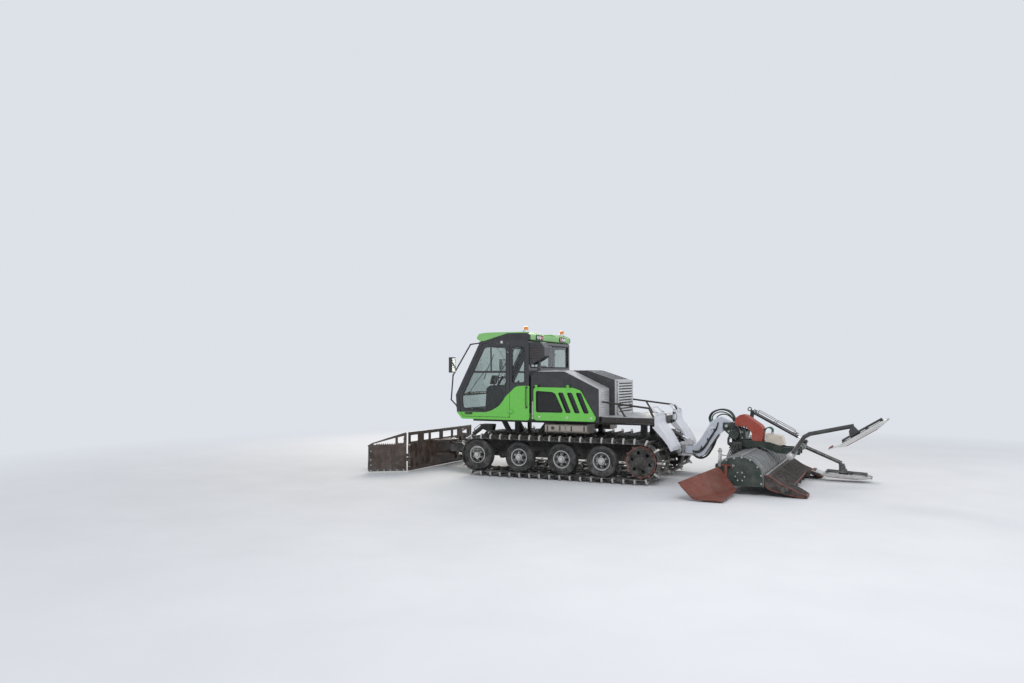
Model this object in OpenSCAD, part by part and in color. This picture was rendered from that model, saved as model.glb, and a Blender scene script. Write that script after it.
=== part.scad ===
// Snowcat groomer with a front blade, a rear tiller and two track setters
// Millimetres, +X forward, +Y left, +Z up. Stations (x) are measured from the middle of
// the tracks; origin_x then moves the middle of the whole machine to x = 0.

/* [Tracks and wheels] */
// Station of the front idler axle
idler_x = 1500; // [1460:5:1560]
// Station of the rear sprocket axle
sprocket_x = -1700; // [-1730:5:-1670]
// Radius over the tips of the cross bars at both ends of a track
track_tip_r = 400; // [396:1:404]
// Height of a cross bar over the belt
bar_h = 82; // [78:1:86]
// Thickness of a rubber belt
belt_t = 18; // [16:1:20]
// Distance of a track's outer edge from the middle plane
track_out_y = 1250; // [1235:5:1270]
// Width of a track
track_w = 820; // [800:5:830]
// Number of cross bars on each track
bar_count = 42; // [36:1:44]
// Radius of the road wheel tyres
tyre_r = 280; // [270:1:285]
// Width of a road wheel tyre
tyre_w = 200; // [180:5:210]
// Radius of a road wheel rim
rim_r = 160; // [150:1:170]
// Radius of an axle stub
axle_r = 42; // [36:1:48]

/* [Chassis] */
// Half width of the tub between the tracks
tub_half_w = 350; // [340:2:354]
// Front end of the tub
tub_front_x = 1840; // [1820:5:1850]
// Rear end of the tub
tub_back_x = -1830; // [-1850:5:-1800]
// Underside of the tub
tub_z = 300; // [290:5:320]
// Top of the tub
tub_top_z = 780; // [770:2:790]
// Underside of the platform that carries the cab and the engine
platform_z = 1000; // [990:2:1010]
// Thickness of the platform
platform_t = 50; // [40:1:54]

/* [Cab] */
// Station of the cab's rear wall
cab_back_x = 500; // [490:2:520]
// Half width of the cab
cab_half_w = 1030; // [1010:5:1050]
// Thickness of the cab walls and doors
wall_t = 40; // [34:1:46]
// Height of the cab mounts
mount_h = 6; // [6:1:10]
// Underside of the roof
roof_z = 2560; // [2540:5:2580]
// Thickness of the roof
roof_t = 160; // [140:5:170]
// Station of the door hinge seam
door_x = 900; // [880:5:920]
// Gap round a door
door_gap = 8; // [6:1:10]
// Thickness of a window pane
glass_t = 8; // [6:1:10]

/* [Engine body] */
// Half width of the engine body
body_half_w = 1000; // [990:2:1010]
// Rear end of the engine body
body_back_x = -880; // [-890:2:-870]
// Height of the flat top
body_top_z = 1980; // [1960:5:1990]
// Height of the rear edge
body_back_z = 1660; // [1640:5:1670]
// Half width of the centre hood
hood_half_w = 455; // [440:5:470]
// Rear end of the centre hood
hood_back_x = -1050; // [-1060:5:-1030]
// Thickness of a side panel
panel_t = 25; // [20:1:28]

/* [Tow eye] */
// Radius of the hole in the tow eye
tow_r = 22; // [18:1:26]
// Thickness of the tow eye
tow_t = 40; // [30:1:50]
// Station of the tow eye
tow_x = 1560; // [1500:10:1600]
// Height of the hole in the tow eye
tow_z = 262; // [256:1:266]

/* [Deck and rear guards] */
// Rear end of the deck
deck_back_x = -1870; // [-1880:2:-1860]
// Half width of the deck
deck_half_w = 930; // [910:5:940]
// Height of the deck floor
deck_z = 1157; // [1140:1:1170]
// Radius of a deck rail
rail_r = 17; // [14:1:20]
// Wall of the deck tray
deck_t = 12; // [8:1:16]
// Hole for a tie-down bolt in the deck
tie_r = 9; // [6:0.5:12]
// Distance between the tie-down holes along the machine
tie_dx = 400; // [380:10:420]
// Distance between the tie-down holes across the machine
tie_dy = 1500; // [1480:10:1520]
// Inner edge of a rear guard from the middle plane
guard_y = 330; // [326:1:340]
// Wall of a rear guard
guard_t = 12; // [8:1:16]
// Outer face of a lift bracket plate from the middle plane
tower_y = 290; // [286:1:294]
// Thickness of a lift bracket plate
tower_t = 36; // [30:1:40]

/* [Rear lift] */
// Station of the lift pivot
lift_x = -2130; // [-2140:2:-2126]
// Height of the lift pivot
lift_z = 560; // [550:2:570]
// Radius of the lift shaft
lift_shaft_r = 32; // [28:1:36]
// Station of the swing pin
swing_x = -2290; // [-2296:2:-2284]
// Half width of the swan neck
neck_half_w = 100; // [90:2:110]
// Station of the tiller's tilt pin
tilt_x = -2960; // [-2966:2:-2954]
// Height of the tiller's tilt pin
tilt_z = 1000; // [990:2:1010]

/* [Tiller] */
// Half width of the tiller casing
tiller_half_w = 1600; // [1580:5:1620]
// Thickness of the casing sheet
casing_t = 20; // [16:1:24]
// Station of the rotor axle
rotor_x = -3440; // [-3446:2:-3434]
// Height of the rotor axle
rotor_z = 300; // [296:2:310]
// Radius of the rotor drum
drum_r = 110; // [100:2:120]
// Radius over the cutter tips
cutter_r = 215; // [200:2:225]
// Outer reach of a side finisher from the middle plane
finisher_y = 2540; // [2500:10:2560]
// Rear edge of the rear finisher
finisher_back_x = -4440; // [-4460:5:-4420]

/* [Track setters] */
// Station of the setters' cross tube
setter_x = -4140; // [-4146:2:-4134]
// Height of the setters' cross tube
setter_z = 600; // [594:2:606]
// Radius of the setters' cross tube
setter_tube_r = 40; // [36:1:44]
// Distance of a setter from the middle plane
setter_y = 950; // [930:5:970]
// Width of a setter plate
setter_w = 360; // [320:5:380]
// Length of a setter plate
setter_len = 1000; // [980:5:1020]
// Front tip of the raised left plate
raised_x = -4770; // [-4780:2:-4760]
// Height of that tip
raised_z = 660; // [650:2:670]
// Slope of the raised plate
raised_ang = 32; // [30:0.5:34]

/* [Blade] */
// Station of the push frame's pivot
push_x = 1930; // [1926:1:1940]
// Height of the push frame's pivot
push_z = 450; // [440:2:460]
// Station of the blade's swivel pin
swivel_x = 2700; // [2690:2:2710]
// Station of the blade plate
blade_x = 3000; // [2990:5:3020]
// Half width of the blade's middle section
blade_half_w = 1250; // [1230:5:1270]
// Height of the blade's top edge
blade_top_z = 765; // [750:5:780]
// Length of a blade wing
wing_len = 800; // [760:5:820]
// Angle of a wing from straight ahead
wing_ang = 37; // [30:1:45]
// Thickness of a wing plate
wing_t = 24; // [20:1:28]

/* [Hidden] */

// Clearance between pieces that are fitted together
seat = 0.3;
// Clearance between pieces that move past each other
run = 8;

// Underside of the cab shell
cab_z = platform_z + platform_t + mount_h;
// Overall reach, from which the middle of the machine follows
wing_hinge_x = blade_x - 25;
wing_tip_x = wing_hinge_x + wing_len * cos(wing_ang) + wing_t / 2 * sin(wing_ang);
skid_h = 36;
setter_tip_x = raised_x - setter_len * cos(raised_ang) + skid_h * sin(raised_ang);
origin_x = -(wing_tip_x + setter_tip_x) / 2;

// Helpers
module place() {
    translate([origin_x, 0, 0]) children();
}
module both_sides() {
    children();
    mirror([0, 1, 0]) children();
}
// Side view profile (x, z) stretched from y0 to y1
module slab(points, y0, y1) {
    translate([0, y1, 0]) rotate([90, 0, 0]) linear_extrude(height = y1 - y0) polygon(points);
}
// Round bar from point p to point q
module rod(p, q, r) {
    v = q - p;
    len = norm(v);
    translate(p) rotate([0, acos(v[2] / len), atan2(v[1], v[0])]) cylinder(h = len, r = r, $fn = 32);
}
// Bent tube through a list of points, its straight stretches mitred by running them on a little
module tube(points, r) {
    last = len(points) - 2;
    for (i = [0:last]) {
        d = unit(points[i + 1] - points[i]) * r * 0.45;
        rod(points[i] - (i == 0 ? 0 : 1) * d, points[i + 1] + (i == last ? 0 : 1) * d, r);
    }
}
// Cylinder along y
module cross_pin(x, z, r, y0, y1) {
    translate([x, y1, z]) rotate([90, 0, 0]) cylinder(h = y1 - y0, r = r, $fn = 48);
}
// Outline with every corner rounded to radius r
function unit(v) = v / norm(v);
function corner(a, b, c, r) = unit(a - b) * unit(c - b) < -0.999 ? [b] :
    let(u = unit(a - b), w = unit(c - b), half = acos(u * w) / 2,
        reach = min(r / tan(half), norm(a - b) * 0.45, norm(c - b) * 0.45), rr = reach * tan(half),
        mid = b + unit(u + w) * rr / sin(half), s = b + u * reach - mid, e = b + w * reach - mid,
        a0 = atan2(s[1], s[0]), turn = atan2(s[0] * e[1] - s[1] * e[0], s * e))
    [for (k = [0:4]) mid + rr * [cos(a0 + turn * k / 4), sin(a0 + turn * k / 4)]];
function rounded(p, r) =
    let(n = len(p)) [for (i = [0:n - 1]) each corner(p[(i + n - 1) % n], p[i], p[(i + 1) % n], r)];

// Tracks
wheel_x = [630, -220, -980];
wheel_y = track_out_y - 130;
axle_z = track_tip_r;
belt_in_r = track_tip_r - bar_h - belt_t;
wheel_z = axle_z - belt_in_r + tyre_r + seat;
track_in_y = track_out_y - track_w;

module stadium(r) {
    translate([idler_x, axle_z]) circle(r = r, $fn = 48);
    translate([sprocket_x, axle_z]) circle(r = r, $fn = 48);
    translate([sprocket_x, axle_z - r]) square([idler_x - sprocket_x, 2 * r]);
}
module belt(y0, y1) {
    translate([0, y1, 0]) rotate([90, 0, 0]) linear_extrude(height = y1 - y0) difference() {
        stadium(belt_in_r + belt_t);
        stadium(belt_in_r);
    }
}
// Cross bar: profile along y (width) and out from the belt (height)
module cross_bar() {
    tip = bar_h + 1;
    rotate([90, 0, 90]) translate([0, 0, -14]) linear_extrude(height = 28) polygon([
        [track_in_y, -1], [track_out_y - 12, -1], [track_out_y, tip * 0.55], [track_out_y - 45, tip],
        [track_out_y - 95, tip * 0.5], [track_in_y + 95, tip * 0.5], [track_in_y + 45, tip],
        [track_in_y, tip * 0.55]
    ]);
}
module bar_at(s) {
    straight = idler_x - sprocket_x;
    r = belt_in_r + belt_t;
    arc = PI * r;
    if (s < straight) translate([sprocket_x + s, 0, axle_z + r]) cross_bar();
    else if (s < straight + arc) translate([idler_x, 0, axle_z])
        rotate([0, (s - straight) / arc * 180, 0]) translate([0, 0, r]) cross_bar();
    else if (s < 2 * straight + arc) translate([idler_x - (s - straight - arc), 0, axle_z])
        rotate([0, 180, 0]) translate([0, 0, r]) cross_bar();
    else translate([sprocket_x, 0, axle_z])
        rotate([0, 180 + (s - 2 * straight - arc) / arc * 180, 0]) translate([0, 0, r]) cross_bar();
}
module track() {
    loop = 2 * (idler_x - sprocket_x) + 2 * PI * (belt_in_r + belt_t);
    belt(track_in_y + 20, track_in_y + 250);
    belt(track_out_y - 250, track_out_y - 20);
    for (i = [0:bar_count - 1]) bar_at((i + 0.5) * loop / bar_count);
}
module track_left() color("dimgray") place() track();
module track_right() color("dimgray") place() mirror([0, 1, 0]) track();

// A tyre as a ring with round shoulders, its axle along y
module tyre(r) {
    h = tyre_w / 2;
    rotate([90, 0, 0]) rotate_extrude($fn = 48) polygon(rounded([
        [rim_r + 1, -h + 25], [r - 40, -h], [r, -h + 35], [r, h - 35], [r - 40, h], [rim_r + 1, h - 25]
    ], 14));
}
module rim() {
    h = tyre_w / 2 - 25;
    difference() {
        rotate([90, 0, 0]) rotate_extrude($fn = 48) polygon([
            [axle_r + seat, -h - 10], [80, -h - 10], [88, -h + 22], [rim_r - 26, -h + 30],
            [rim_r - 12, -h], [rim_r, -h], [rim_r, h], [rim_r - 12, h], [rim_r - 12, -h + 44],
            [80, -h + 38], [76, h], [axle_r + seat, h]
        ]);
        for (a = [0:60:300]) rotate([0, a, 0]) translate([rim_r - 54, 0, 0]) rotate([90, 0, 0])
            cylinder(h = tyre_w, r = 24, center = true, $fn = 24);
    }
}
module tyres() color([0.09, 0.09, 0.1]) place() both_sides() {
    for (x = wheel_x) translate([x, wheel_y, wheel_z]) tyre(tyre_r);
    translate([idler_x, wheel_y, axle_z]) tyre(belt_in_r - seat);
}
module rims() color("silver") place() both_sides() {
    for (x = wheel_x) translate([x, wheel_y, wheel_z]) rim();
    translate([idler_x, wheel_y, axle_z]) rim();
}
// Drive sprocket: two toothed rings on a drum
module sprocket() {
    ring_r = belt_in_r - 30;
    for (y = [wheel_y - 60, wheel_y + 60]) translate([0, y, 0]) rotate([90, 0, 0])
        linear_extrude(height = 24, center = true) difference() {
            union() {
                circle(r = ring_r, $fn = 48);
                for (a = [0:30:330]) rotate(a) translate([ring_r - 10, -16]) square([36, 32]);
            }
            circle(r = axle_r + seat, $fn = 32);
            for (a = [0:60:300]) rotate(a + 15) translate([165, 0]) circle(r = 34, $fn = 24);
        }
    rotate([90, 0, 0]) difference() {
        translate([0, 0, -wheel_y - 60]) cylinder(h = 230, r = 105, $fn = 40);
        translate([0, 0, -wheel_y - 61]) cylinder(h = 232, r = axle_r + seat, $fn = 32);
    }
}
module sprockets() color("saddlebrown") place() both_sides() translate([sprocket_x, 0, axle_z]) sprocket();

// Chassis: tub, axle stubs, platform and its posts
// Posts that carry the platform: foot station, head station, thickness
posts = [[1250, 1380, 90], [1090, 1090, 60], [590, 420, 90], [-450, -450, 90], [-1500, -1500, 110]];
module platform() {
    difference() {
        translate([deck_back_x + 20, -700, platform_z]) cube([1860 - deck_back_x - 20, 1400, platform_t]);
        for (x = [-1380, -680, -120, 480, 1120]) translate([x, -440, platform_z - 1])
            cube([400, 880, platform_t + 2]);
    }
}
module chassis_frame() color([0.16, 0.16, 0.17]) place() {
    slab(rounded([
        [tub_back_x, tub_z + 120], [tub_back_x + 110, tub_z], [tub_front_x - 160, tub_z],
        [tub_front_x, tub_z + 140],
        [tub_front_x, tub_top_z - 90], [tub_front_x - 90, tub_top_z], [tub_back_x, tub_top_z]
    ], 30), -tub_half_w, tub_half_w);
    for (p = posts) both_sides() slab([
        [p[0] - p[2] / 2, tub_top_z - 2], [p[0] + p[2] / 2, tub_top_z - 2],
        [p[1] + p[2] / 2, platform_z + 2], [p[1] - p[2] / 2, platform_z + 2]
    ], tub_half_w - 90, tub_half_w - 10);
    platform();
    both_sides() for (x = [700, 1700]) translate([x, 600, platform_z + platform_t - 1])
        cylinder(h = mount_h + 1 - seat, r = 50, $fn = 40);
    both_sides() {
        for (x = wheel_x) cross_pin(x, wheel_z, axle_r, tub_half_w - 5, wheel_y + 60);
        for (x = [idler_x, sprocket_x]) cross_pin(x, axle_z, axle_r, tub_half_w - 5, wheel_y + 60);
    }
    // Tow eye under the front of the tub
    difference() {
        slab(rounded([[tow_x + 90, tub_z + 20], [tow_x + 40, tow_z - 44], [tow_x - 40, tow_z - 44],
            [tow_x - 90, tub_z + 20]], 34),
            -tow_t / 2, tow_t / 2);
        cross_pin(tow_x, tow_z, tow_r, -tow_t, tow_t);
    }
    // Front lugs of the push frame and the bracket of the blade cylinder
    for (y = [-290, -210, 180, 260]) difference() {
        slab(rounded([
            [tub_front_x - 20, push_z - 70], [push_x + 40, push_z - 60], [push_x + 40, push_z + 60],
            [tub_front_x - 20, push_z + 90]
        ], 30), y, y + 30);
        cross_pin(push_x, push_z, 30, y - 1, y + 31);
    }
    for (y = lugs(blade_r)) difference() {
        slab(rounded([
            [tub_front_x - 60, tub_top_z - 60], [blade_base[0] + 40, blade_base[1] - 45],
            [blade_base[0] + 40, blade_base[1] + 40], [tub_front_x - 100, blade_base[1] + 40]
        ], 20), y, y + 30);
        cross_pin(blade_base[0], blade_base[1], blade_pin_r + seat, y - 1, y + 31);
    }
}

// Tanks under the body on both sides
tank_back_x = -590;
tank_front_x = 240;
tank_z = 830;
module side_tanks() color([0.75, 0.72, 0.68]) place() both_sides() difference() {
    translate([tank_back_x, 450, 0]) rotate([90, 0, 90])
        linear_extrude(height = tank_front_x - tank_back_x) polygon(rounded([
            [0, tank_z], [430, tank_z], [430, platform_z - seat], [0, platform_z - seat]
        ], 44));
    translate([(tank_back_x + tank_front_x) / 2, 0, 0])
        slab([[-15, tank_z - 30], [15, tank_z - 30], [15, 1100], [-15, 1100]], 860, 900);
}

// Engine body
body_front_x = 470;
panel_z0 = 1062;
panel_z1 = 1680;
panel_outline = [
    [body_front_x - 50, panel_z0], [body_front_x - 50, panel_z1], [-380, panel_z1 - 10],
    [-520, panel_z1 - 60],
    [-855, panel_z0]
];
module engine_block() color("dimgray") place() translate([-700, -350, platform_z + platform_t])
    cube([900, 700, 560]);
module engine_body() color([0.1, 0.1, 0.11]) place() {
    body_shell();
    // Hinge lugs and pins of the side panels
    both_sides() for (x = panel_hinge_x) {
        translate([x - 30, body_half_w - 2, panel_hinge_z - 12]) cube([24, 34, 40]);
        translate([x - 12, panel_hinge_y, panel_hinge_z]) rotate([0, 90, 0])
            cylinder(h = 60, r = 7, $fn = 32);
    }
}
canister_z = 1080;
module body_shell() difference() {
    slab([
        [body_front_x, platform_z + platform_t + seat], [body_front_x, 1900],
        [body_front_x - 80, body_top_z - 14],
        [-203, body_top_z - 14], [body_back_x + 14, body_back_z - 14],
        [body_back_x + 14, platform_z + platform_t + seat]
    ], -body_half_w, body_half_w);
    slab([
        [body_front_x - 50, 1000], [body_front_x - 50, 1850], [body_front_x - 110, body_top_z - 60],
        [-215, body_top_z - 60], [body_back_x + 60, body_back_z - 50], [body_back_x + 60, 1000]
    ], -body_half_w + 70, body_half_w - 70);
    translate([body_front_x - 46, body_half_w - 95, canister_z]) cube([47, 96, 360]);
    both_sides() slab([
        [body_front_x - 50 + run, panel_z0 - 60], [body_front_x - 50 + run, panel_z1 + run],
        [-380, panel_z1 - 10 + run],
        [-520 - run, panel_z1 - 60 + run], [-891 - run * 2, panel_z0 - 60]
    ], body_half_w - panel_t - 12, body_half_w + 1);
}
// Silver skin on the slope and the rear, beside the centre hood
module engine_cover() color("gainsboro") place() both_sides() slab([
    [body_front_x - 150, body_top_z - 13.7], [-203, body_top_z - 13.7],
    [body_back_x + 13.7, body_back_z - 13.7],
    [body_back_x + 13.7, deck_z + 2], [body_back_x, deck_z + 2], [body_back_x, body_back_z],
    [-200, body_top_z],
    [body_front_x - 150, body_top_z]
], hood_half_w + seat, body_half_w);
module centre_hood() color([0.12, 0.12, 0.13]) place() slab([
    [body_front_x - 150, body_top_z - 13.4], [-203, body_top_z - 13.4],
    [body_back_x + 13.4, body_back_z - 13.4],
    [body_back_x + 13.4, deck_z + 2], [hood_back_x + 60.5, deck_z + 2], [hood_back_x + 60.5, 1818],
    [-465, body_top_z + 10], [body_front_x - 150, body_top_z + 10]
], -hood_half_w, hood_half_w);
// Cooler housing with horizontal ribs behind the hood
module cooler() color("silver") place() {
    slab([
        [hood_back_x + 22, deck_z + 2], [hood_back_x + 60, deck_z + 2], [hood_back_x + 60, 1817],
        [hood_back_x + 22, 1805]
    ], -hood_half_w, hood_half_w);
    for (z = [deck_z + 30:52:1790]) translate([hood_back_x, -hood_half_w, z])
        cube([23, 2 * hood_half_w, 30]);
}
// Slots in a side panel: one wide window and three slanted slots
panel_hinge_y = body_half_w + 16;
panel_hinge_z = panel_z1 + 24;
panel_hinge_x = [330, -300];
module side_panel() {
    for (x = panel_hinge_x) difference() {
        union() {
            translate([x, panel_hinge_y, panel_hinge_z]) rotate([0, 90, 0])
                cylinder(h = 50, r = 15, $fn = 32);
            translate([x, body_half_w + 1, panel_z1 - 40]) cube([50, 12, 60]);
            translate([x, body_half_w - 5, panel_z1 - 40]) cube([50, 8, 35]);
        }
        translate([x - 1, panel_hinge_y, panel_hinge_z]) rotate([0, 90, 0])
            cylinder(h = 52, r = 7 + seat, $fn = 32);
    }
    difference() {
        slab(rounded(panel_outline, 60), body_half_w - panel_t, body_half_w);
        slab(rounded([
            [370, 1210], [370, 1610], [40, 1590], [-20, 1560], [-190, 1210]
        ], 40), body_half_w - panel_t - 1, body_half_w + 1);
        for (i = [0:2]) slab(rounded([
            [-70 - i * 175, 1580], [-170 - i * 175, 1580], [-330 - i * 175, 1210], [-232 - i * 175, 1210]
        ], 22), body_half_w - panel_t - 1, body_half_w + 1);
    }
}
module side_panel_left() color("limegreen") place() side_panel();
module side_panel_right() color("limegreen") place() mirror([0, 1, 0]) side_panel();

// Cab
cab_outline = [
    [cab_back_x, cab_z], [1930, cab_z], [2045, 1180], [2070, 1520], [1530, roof_z], [cab_back_x, roof_z]
];
// Point on the windscreen's plane: s up its slope from its foot, d in from its face
screen_foot = [2070, 1520];
screen_up = unit([1530, roof_z] - screen_foot);
screen_in = [-screen_up[1], screen_up[0]];
function on_screen(s, d) = screen_foot + screen_up * s + screen_in * d;
cab_inside = [
    [cab_back_x + wall_t, cab_z + wall_t], [1912, cab_z + wall_t], [2004, 1196],
    on_screen(0, wall_t), on_screen(1305, wall_t),
    [cab_back_x + wall_t, roof_z + 100]
];
door_outline = [
    [door_x + door_gap / 2, 1110], [1896, 1110], [1962, 1205], [1986, 1500], [1474, 2500],
    [door_x + door_gap / 2, 2500]
];
window_outline = [
    [975, 2445], [1440, 2445], [1930, 1485], [1912, 1255], [1330, 1215], [1120, 1330], [975, 1530]
];
function grow(p, d) = let(c = [1400, 1800]) [for (q = p) q + [sign(q[0] - c[0]), sign(q[1] - c[1])] * d];
hinge_z = [1190, 2300];
door_hinge_y = cab_half_w + 22;
module cab_frame() color([0.11, 0.11, 0.12]) place() {
    cab_shell();
    // Hinge brackets and pins of the doors
    both_sides() for (z = hinge_z) {
        translate([door_x - 70, cab_half_w - 2, z]) cube([45, 34, 60]);
        translate([door_x - 30, door_hinge_y - 10, z]) cube([40, 20, 18]);
        translate([door_x, door_hinge_y, z]) cylinder(h = 60, r = 8, $fn = 32);
    }
}
module cab_shell() difference() {
    slab(rounded(cab_outline, 40), -cab_half_w, cab_half_w);
    slab(cab_inside, -cab_half_w + wall_t, cab_half_w - wall_t);
    // Door openings
    both_sides() slab(grow(door_outline, door_gap), cab_half_w - wall_t - 1, cab_half_w + 1);
    // Windscreen and lower front window
    slab([on_screen(45, -100), on_screen(45, 100), on_screen(1070, 100), on_screen(1070, -100)],
        -cab_half_w + 90, cab_half_w - 90);
    slab([[2200, 1240], [1960, 1240], [1990, 1520], [2200, 1520]], -cab_half_w + 90, cab_half_w - 90);
    // Rear window
    slab([[cab_back_x - 1, 2050], [cab_back_x + wall_t + 1, 2050], [cab_back_x + wall_t + 1, 2480],
        [cab_back_x - 1, 2480]],
        -cab_half_w + 90, cab_half_w - 90);
    // Windows beside the seat back
    both_sides() slab(rounded([[590, 1760], [850, 1760], [850, 2440], [590, 2440]],
        40), cab_half_w - wall_t - 1, cab_half_w + 1);
}
module cab_roof() color([0.5, 0.85, 0.4]) place() difference() {
    slab(rounded([
        [cab_back_x - 20, roof_z + seat], [1540, roof_z + seat], [1620, roof_z + 50],
        [1560, roof_z + roof_t - 20],
        [1400, roof_z + roof_t], [cab_back_x + 80, roof_z + roof_t], [cab_back_x - 20, roof_z + roof_t - 60]
    ], 30), -cab_half_w, cab_half_w);
    translate([cab_back_x - 30, -300, roof_z + roof_t - 50]) cube([400, 600, 60]);
}
module cab_glass() color([0.2, 0.25, 0.27, 0.5]) place() {
    w = cab_half_w - 90 - seat;
    // Windscreen
    slab([on_screen(45 + seat, 14), on_screen(1070 - seat, 14), on_screen(1070 - seat, 14 + glass_t),
        on_screen(45 + seat, 14 + glass_t)],
        -w, w);
    slab([[2016, 1241], [2024, 1241], [2044, 1519], [2036, 1519]], -w, w);
    translate([cab_back_x + 16, -w, 2050 + seat]) cube([glass_t, 2 * w, 430 - 2 * seat]);
    both_sides() slab(rounded([[590.3, 1760.3], [849.7, 1760.3], [849.7, 2439.7], [590.3, 2439.7]], 40),
        cab_half_w - wall_t / 2, cab_half_w - wall_t / 2 + glass_t);
}
module door() {
    difference() {
        slab(rounded(door_outline, 30), cab_half_w - wall_t, cab_half_w);
        slab(rounded(window_outline, 60), cab_half_w - wall_t - 1, cab_half_w + 1);
    }
    // Hinge knuckles
    for (z = hinge_z) difference() {
        union() {
            translate([door_x, door_hinge_y, z + 18 + seat]) cylinder(h = 40, r = 17, $fn = 32);
            translate([door_x + 5, cab_half_w - 2, z + 18 + seat]) cube([50, 20, 40]);
        }
        translate([door_x, door_hinge_y, z]) cylinder(h = 70, r = 8 + seat, $fn = 32);
    }
}
module door_glass() slab(rounded(grow(window_outline, -seat), 60),
    cab_half_w - wall_t / 2, cab_half_w - wall_t / 2 + glass_t);
module door_left() color([0.45, 0.8, 0.35]) place() door();
module door_right() color([0.45, 0.8, 0.35]) place() mirror([0, 1, 0]) door();
module door_glass_left() color([0.2, 0.25, 0.27, 0.5]) place() door_glass();
module door_glass_right() color([0.2, 0.25, 0.27, 0.5]) place() mirror([0, 1, 0]) door_glass();

// Seat, console, steering bars and screen
module cab_interior() color([0.14, 0.14, 0.15]) place() {
    floor_z = cab_z + wall_t;
    translate([820, -200, floor_z]) cube([380, 400, 300]);
    slab(rounded([[760, floor_z + 290], [1280, floor_z + 290], [1300, floor_z + 420],
        [760, floor_z + 400]], 40), -250, 250);
    slab(rounded([[700, floor_z + 330], [800, floor_z + 360], [720, floor_z + 1020],
        [620, floor_z + 1000]], 40), -240, 240);
    slab([[1500, floor_z], [1800, floor_z], [1760, floor_z + 560], [1640, floor_z + 620]], -330, 330);
    rod([1690, 0, floor_z + 560], [1560, 0, floor_z + 760], 26);
    rod([1560, -190, floor_z + 760], [1560, 190, floor_z + 760], 18);
    translate([900, -420, floor_z]) cube([500, 150, 520]);
}

// Air intake pod with louvres behind the cab on the left
module intake_pod() color([0.12, 0.12, 0.13]) place() {
    difference() {
        slab(rounded([[cab_back_x - seat, 2070], [cab_back_x - seat, 2520], [270, 2520], [190, 2420],
            [190, 2250]], 40), 760, 1010);
        for (z = [2200:46:2430]) translate([240, 1000, z]) cube([220, 20, 18]);
    }
    translate([356, 880, body_top_z - 14 + seat]) cylinder(h = 210, r = 32, $fn = 32);
}
// Beacons on the roof and lamp clusters in its rear edge
module roof_lights() color("darkorange") place() {
    both_sides() {
        translate([cab_back_x + 120, cab_half_w - 130, roof_z + roof_t + seat])
            cylinder(h = 40, r = 60, $fn = 40);
        translate([cab_back_x + 120, cab_half_w - 130, roof_z + roof_t + 40])
            cylinder(h = 70, r = 52, $fn = 40);
        translate([cab_back_x - 38, 430, roof_z + 15]) cube([17.7, 300, 80]);
    }
}
// Rail and mirrors ahead of the windscreen
module mirrors() color([0.1, 0.1, 0.1]) place() both_sides() {
    foot = on_screen(1125, -15);
    translate([2055.6, 965, 1280]) cube([24, 40, 40]);
    slab([on_screen(1100, -seat), on_screen(1150, -seat), on_screen(1150, -24), on_screen(1100, -24)],
        965, 1005);
    stops = [[2068, 985, 1300], [2190, 1000, 1420], [2150, 1000, 1900], [1760, 1000, 2500], [foot[0],
        985, foot[1]]];
    for (i = [0:3]) rod(stops[i], stops[i + 1], 14);
    for (i = [1:3]) translate(stops[i]) sphere(r = 17, $fn = 32);
    difference() {
        translate([2080, 1020, 1950]) cube([70, 150, 300]);
        translate([2070, 1030, 1960]) cube([12, 130, 280]);
    }
    rod([2100, 1000, 1977], [2100, 1035, 1977], 12);
}
// Silver canister that stands in a corner of the engine body, behind the cab on the left
module side_canister() color("silver") place()
    translate([body_front_x - 14, body_half_w - 48, canister_z + seat]) {
    cylinder(h = 320, r = 30, $fn = 32);
    cylinder(h = 345, r = 16, $fn = 32);
}

// Deck with rails
rib_t = 20;
tie_x = (deck_back_x + hood_back_x) / 2;
module rear_deck() color([0.13, 0.13, 0.13]) place() {
    length = body_back_x - 0.5 - deck_back_x;
    floor_z = platform_z + platform_t + seat;
    difference() {
        translate([deck_back_x, -deck_half_w, floor_z]) cube([length, 2 * deck_half_w, deck_z - floor_z]);
        // Pockets that leave a tray with ribs, open below
        for (i = [0:2]) for (j = [0:3]) translate([
            deck_back_x + rib_t + i * (length - rib_t) / 3,
                -deck_half_w + rib_t + j * (2 * deck_half_w - rib_t) / 4, floor_z - 1
        ]) cube([(length - rib_t) / 3 - rib_t, (2 * deck_half_w - rib_t) / 4 - rib_t,
            deck_z - deck_t - floor_z + 1]);
        for (x = [-tie_dx / 2, tie_dx / 2]) for (y = [-tie_dy / 2, tie_dy / 2])
            translate([tie_x + x, y, floor_z]) cylinder(h = 200, r = tie_r, $fn = 32);
    }
    both_sides() {
        y = deck_half_w - 30;
        tube([[-900, y, 1420], [-1765, y, 1320], [deck_back_x + 30, y, deck_z + 10]], rail_r);
        rod([-1190, y, 1386], [-1330, y, deck_z - 5], rail_r);
    }
}

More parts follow.
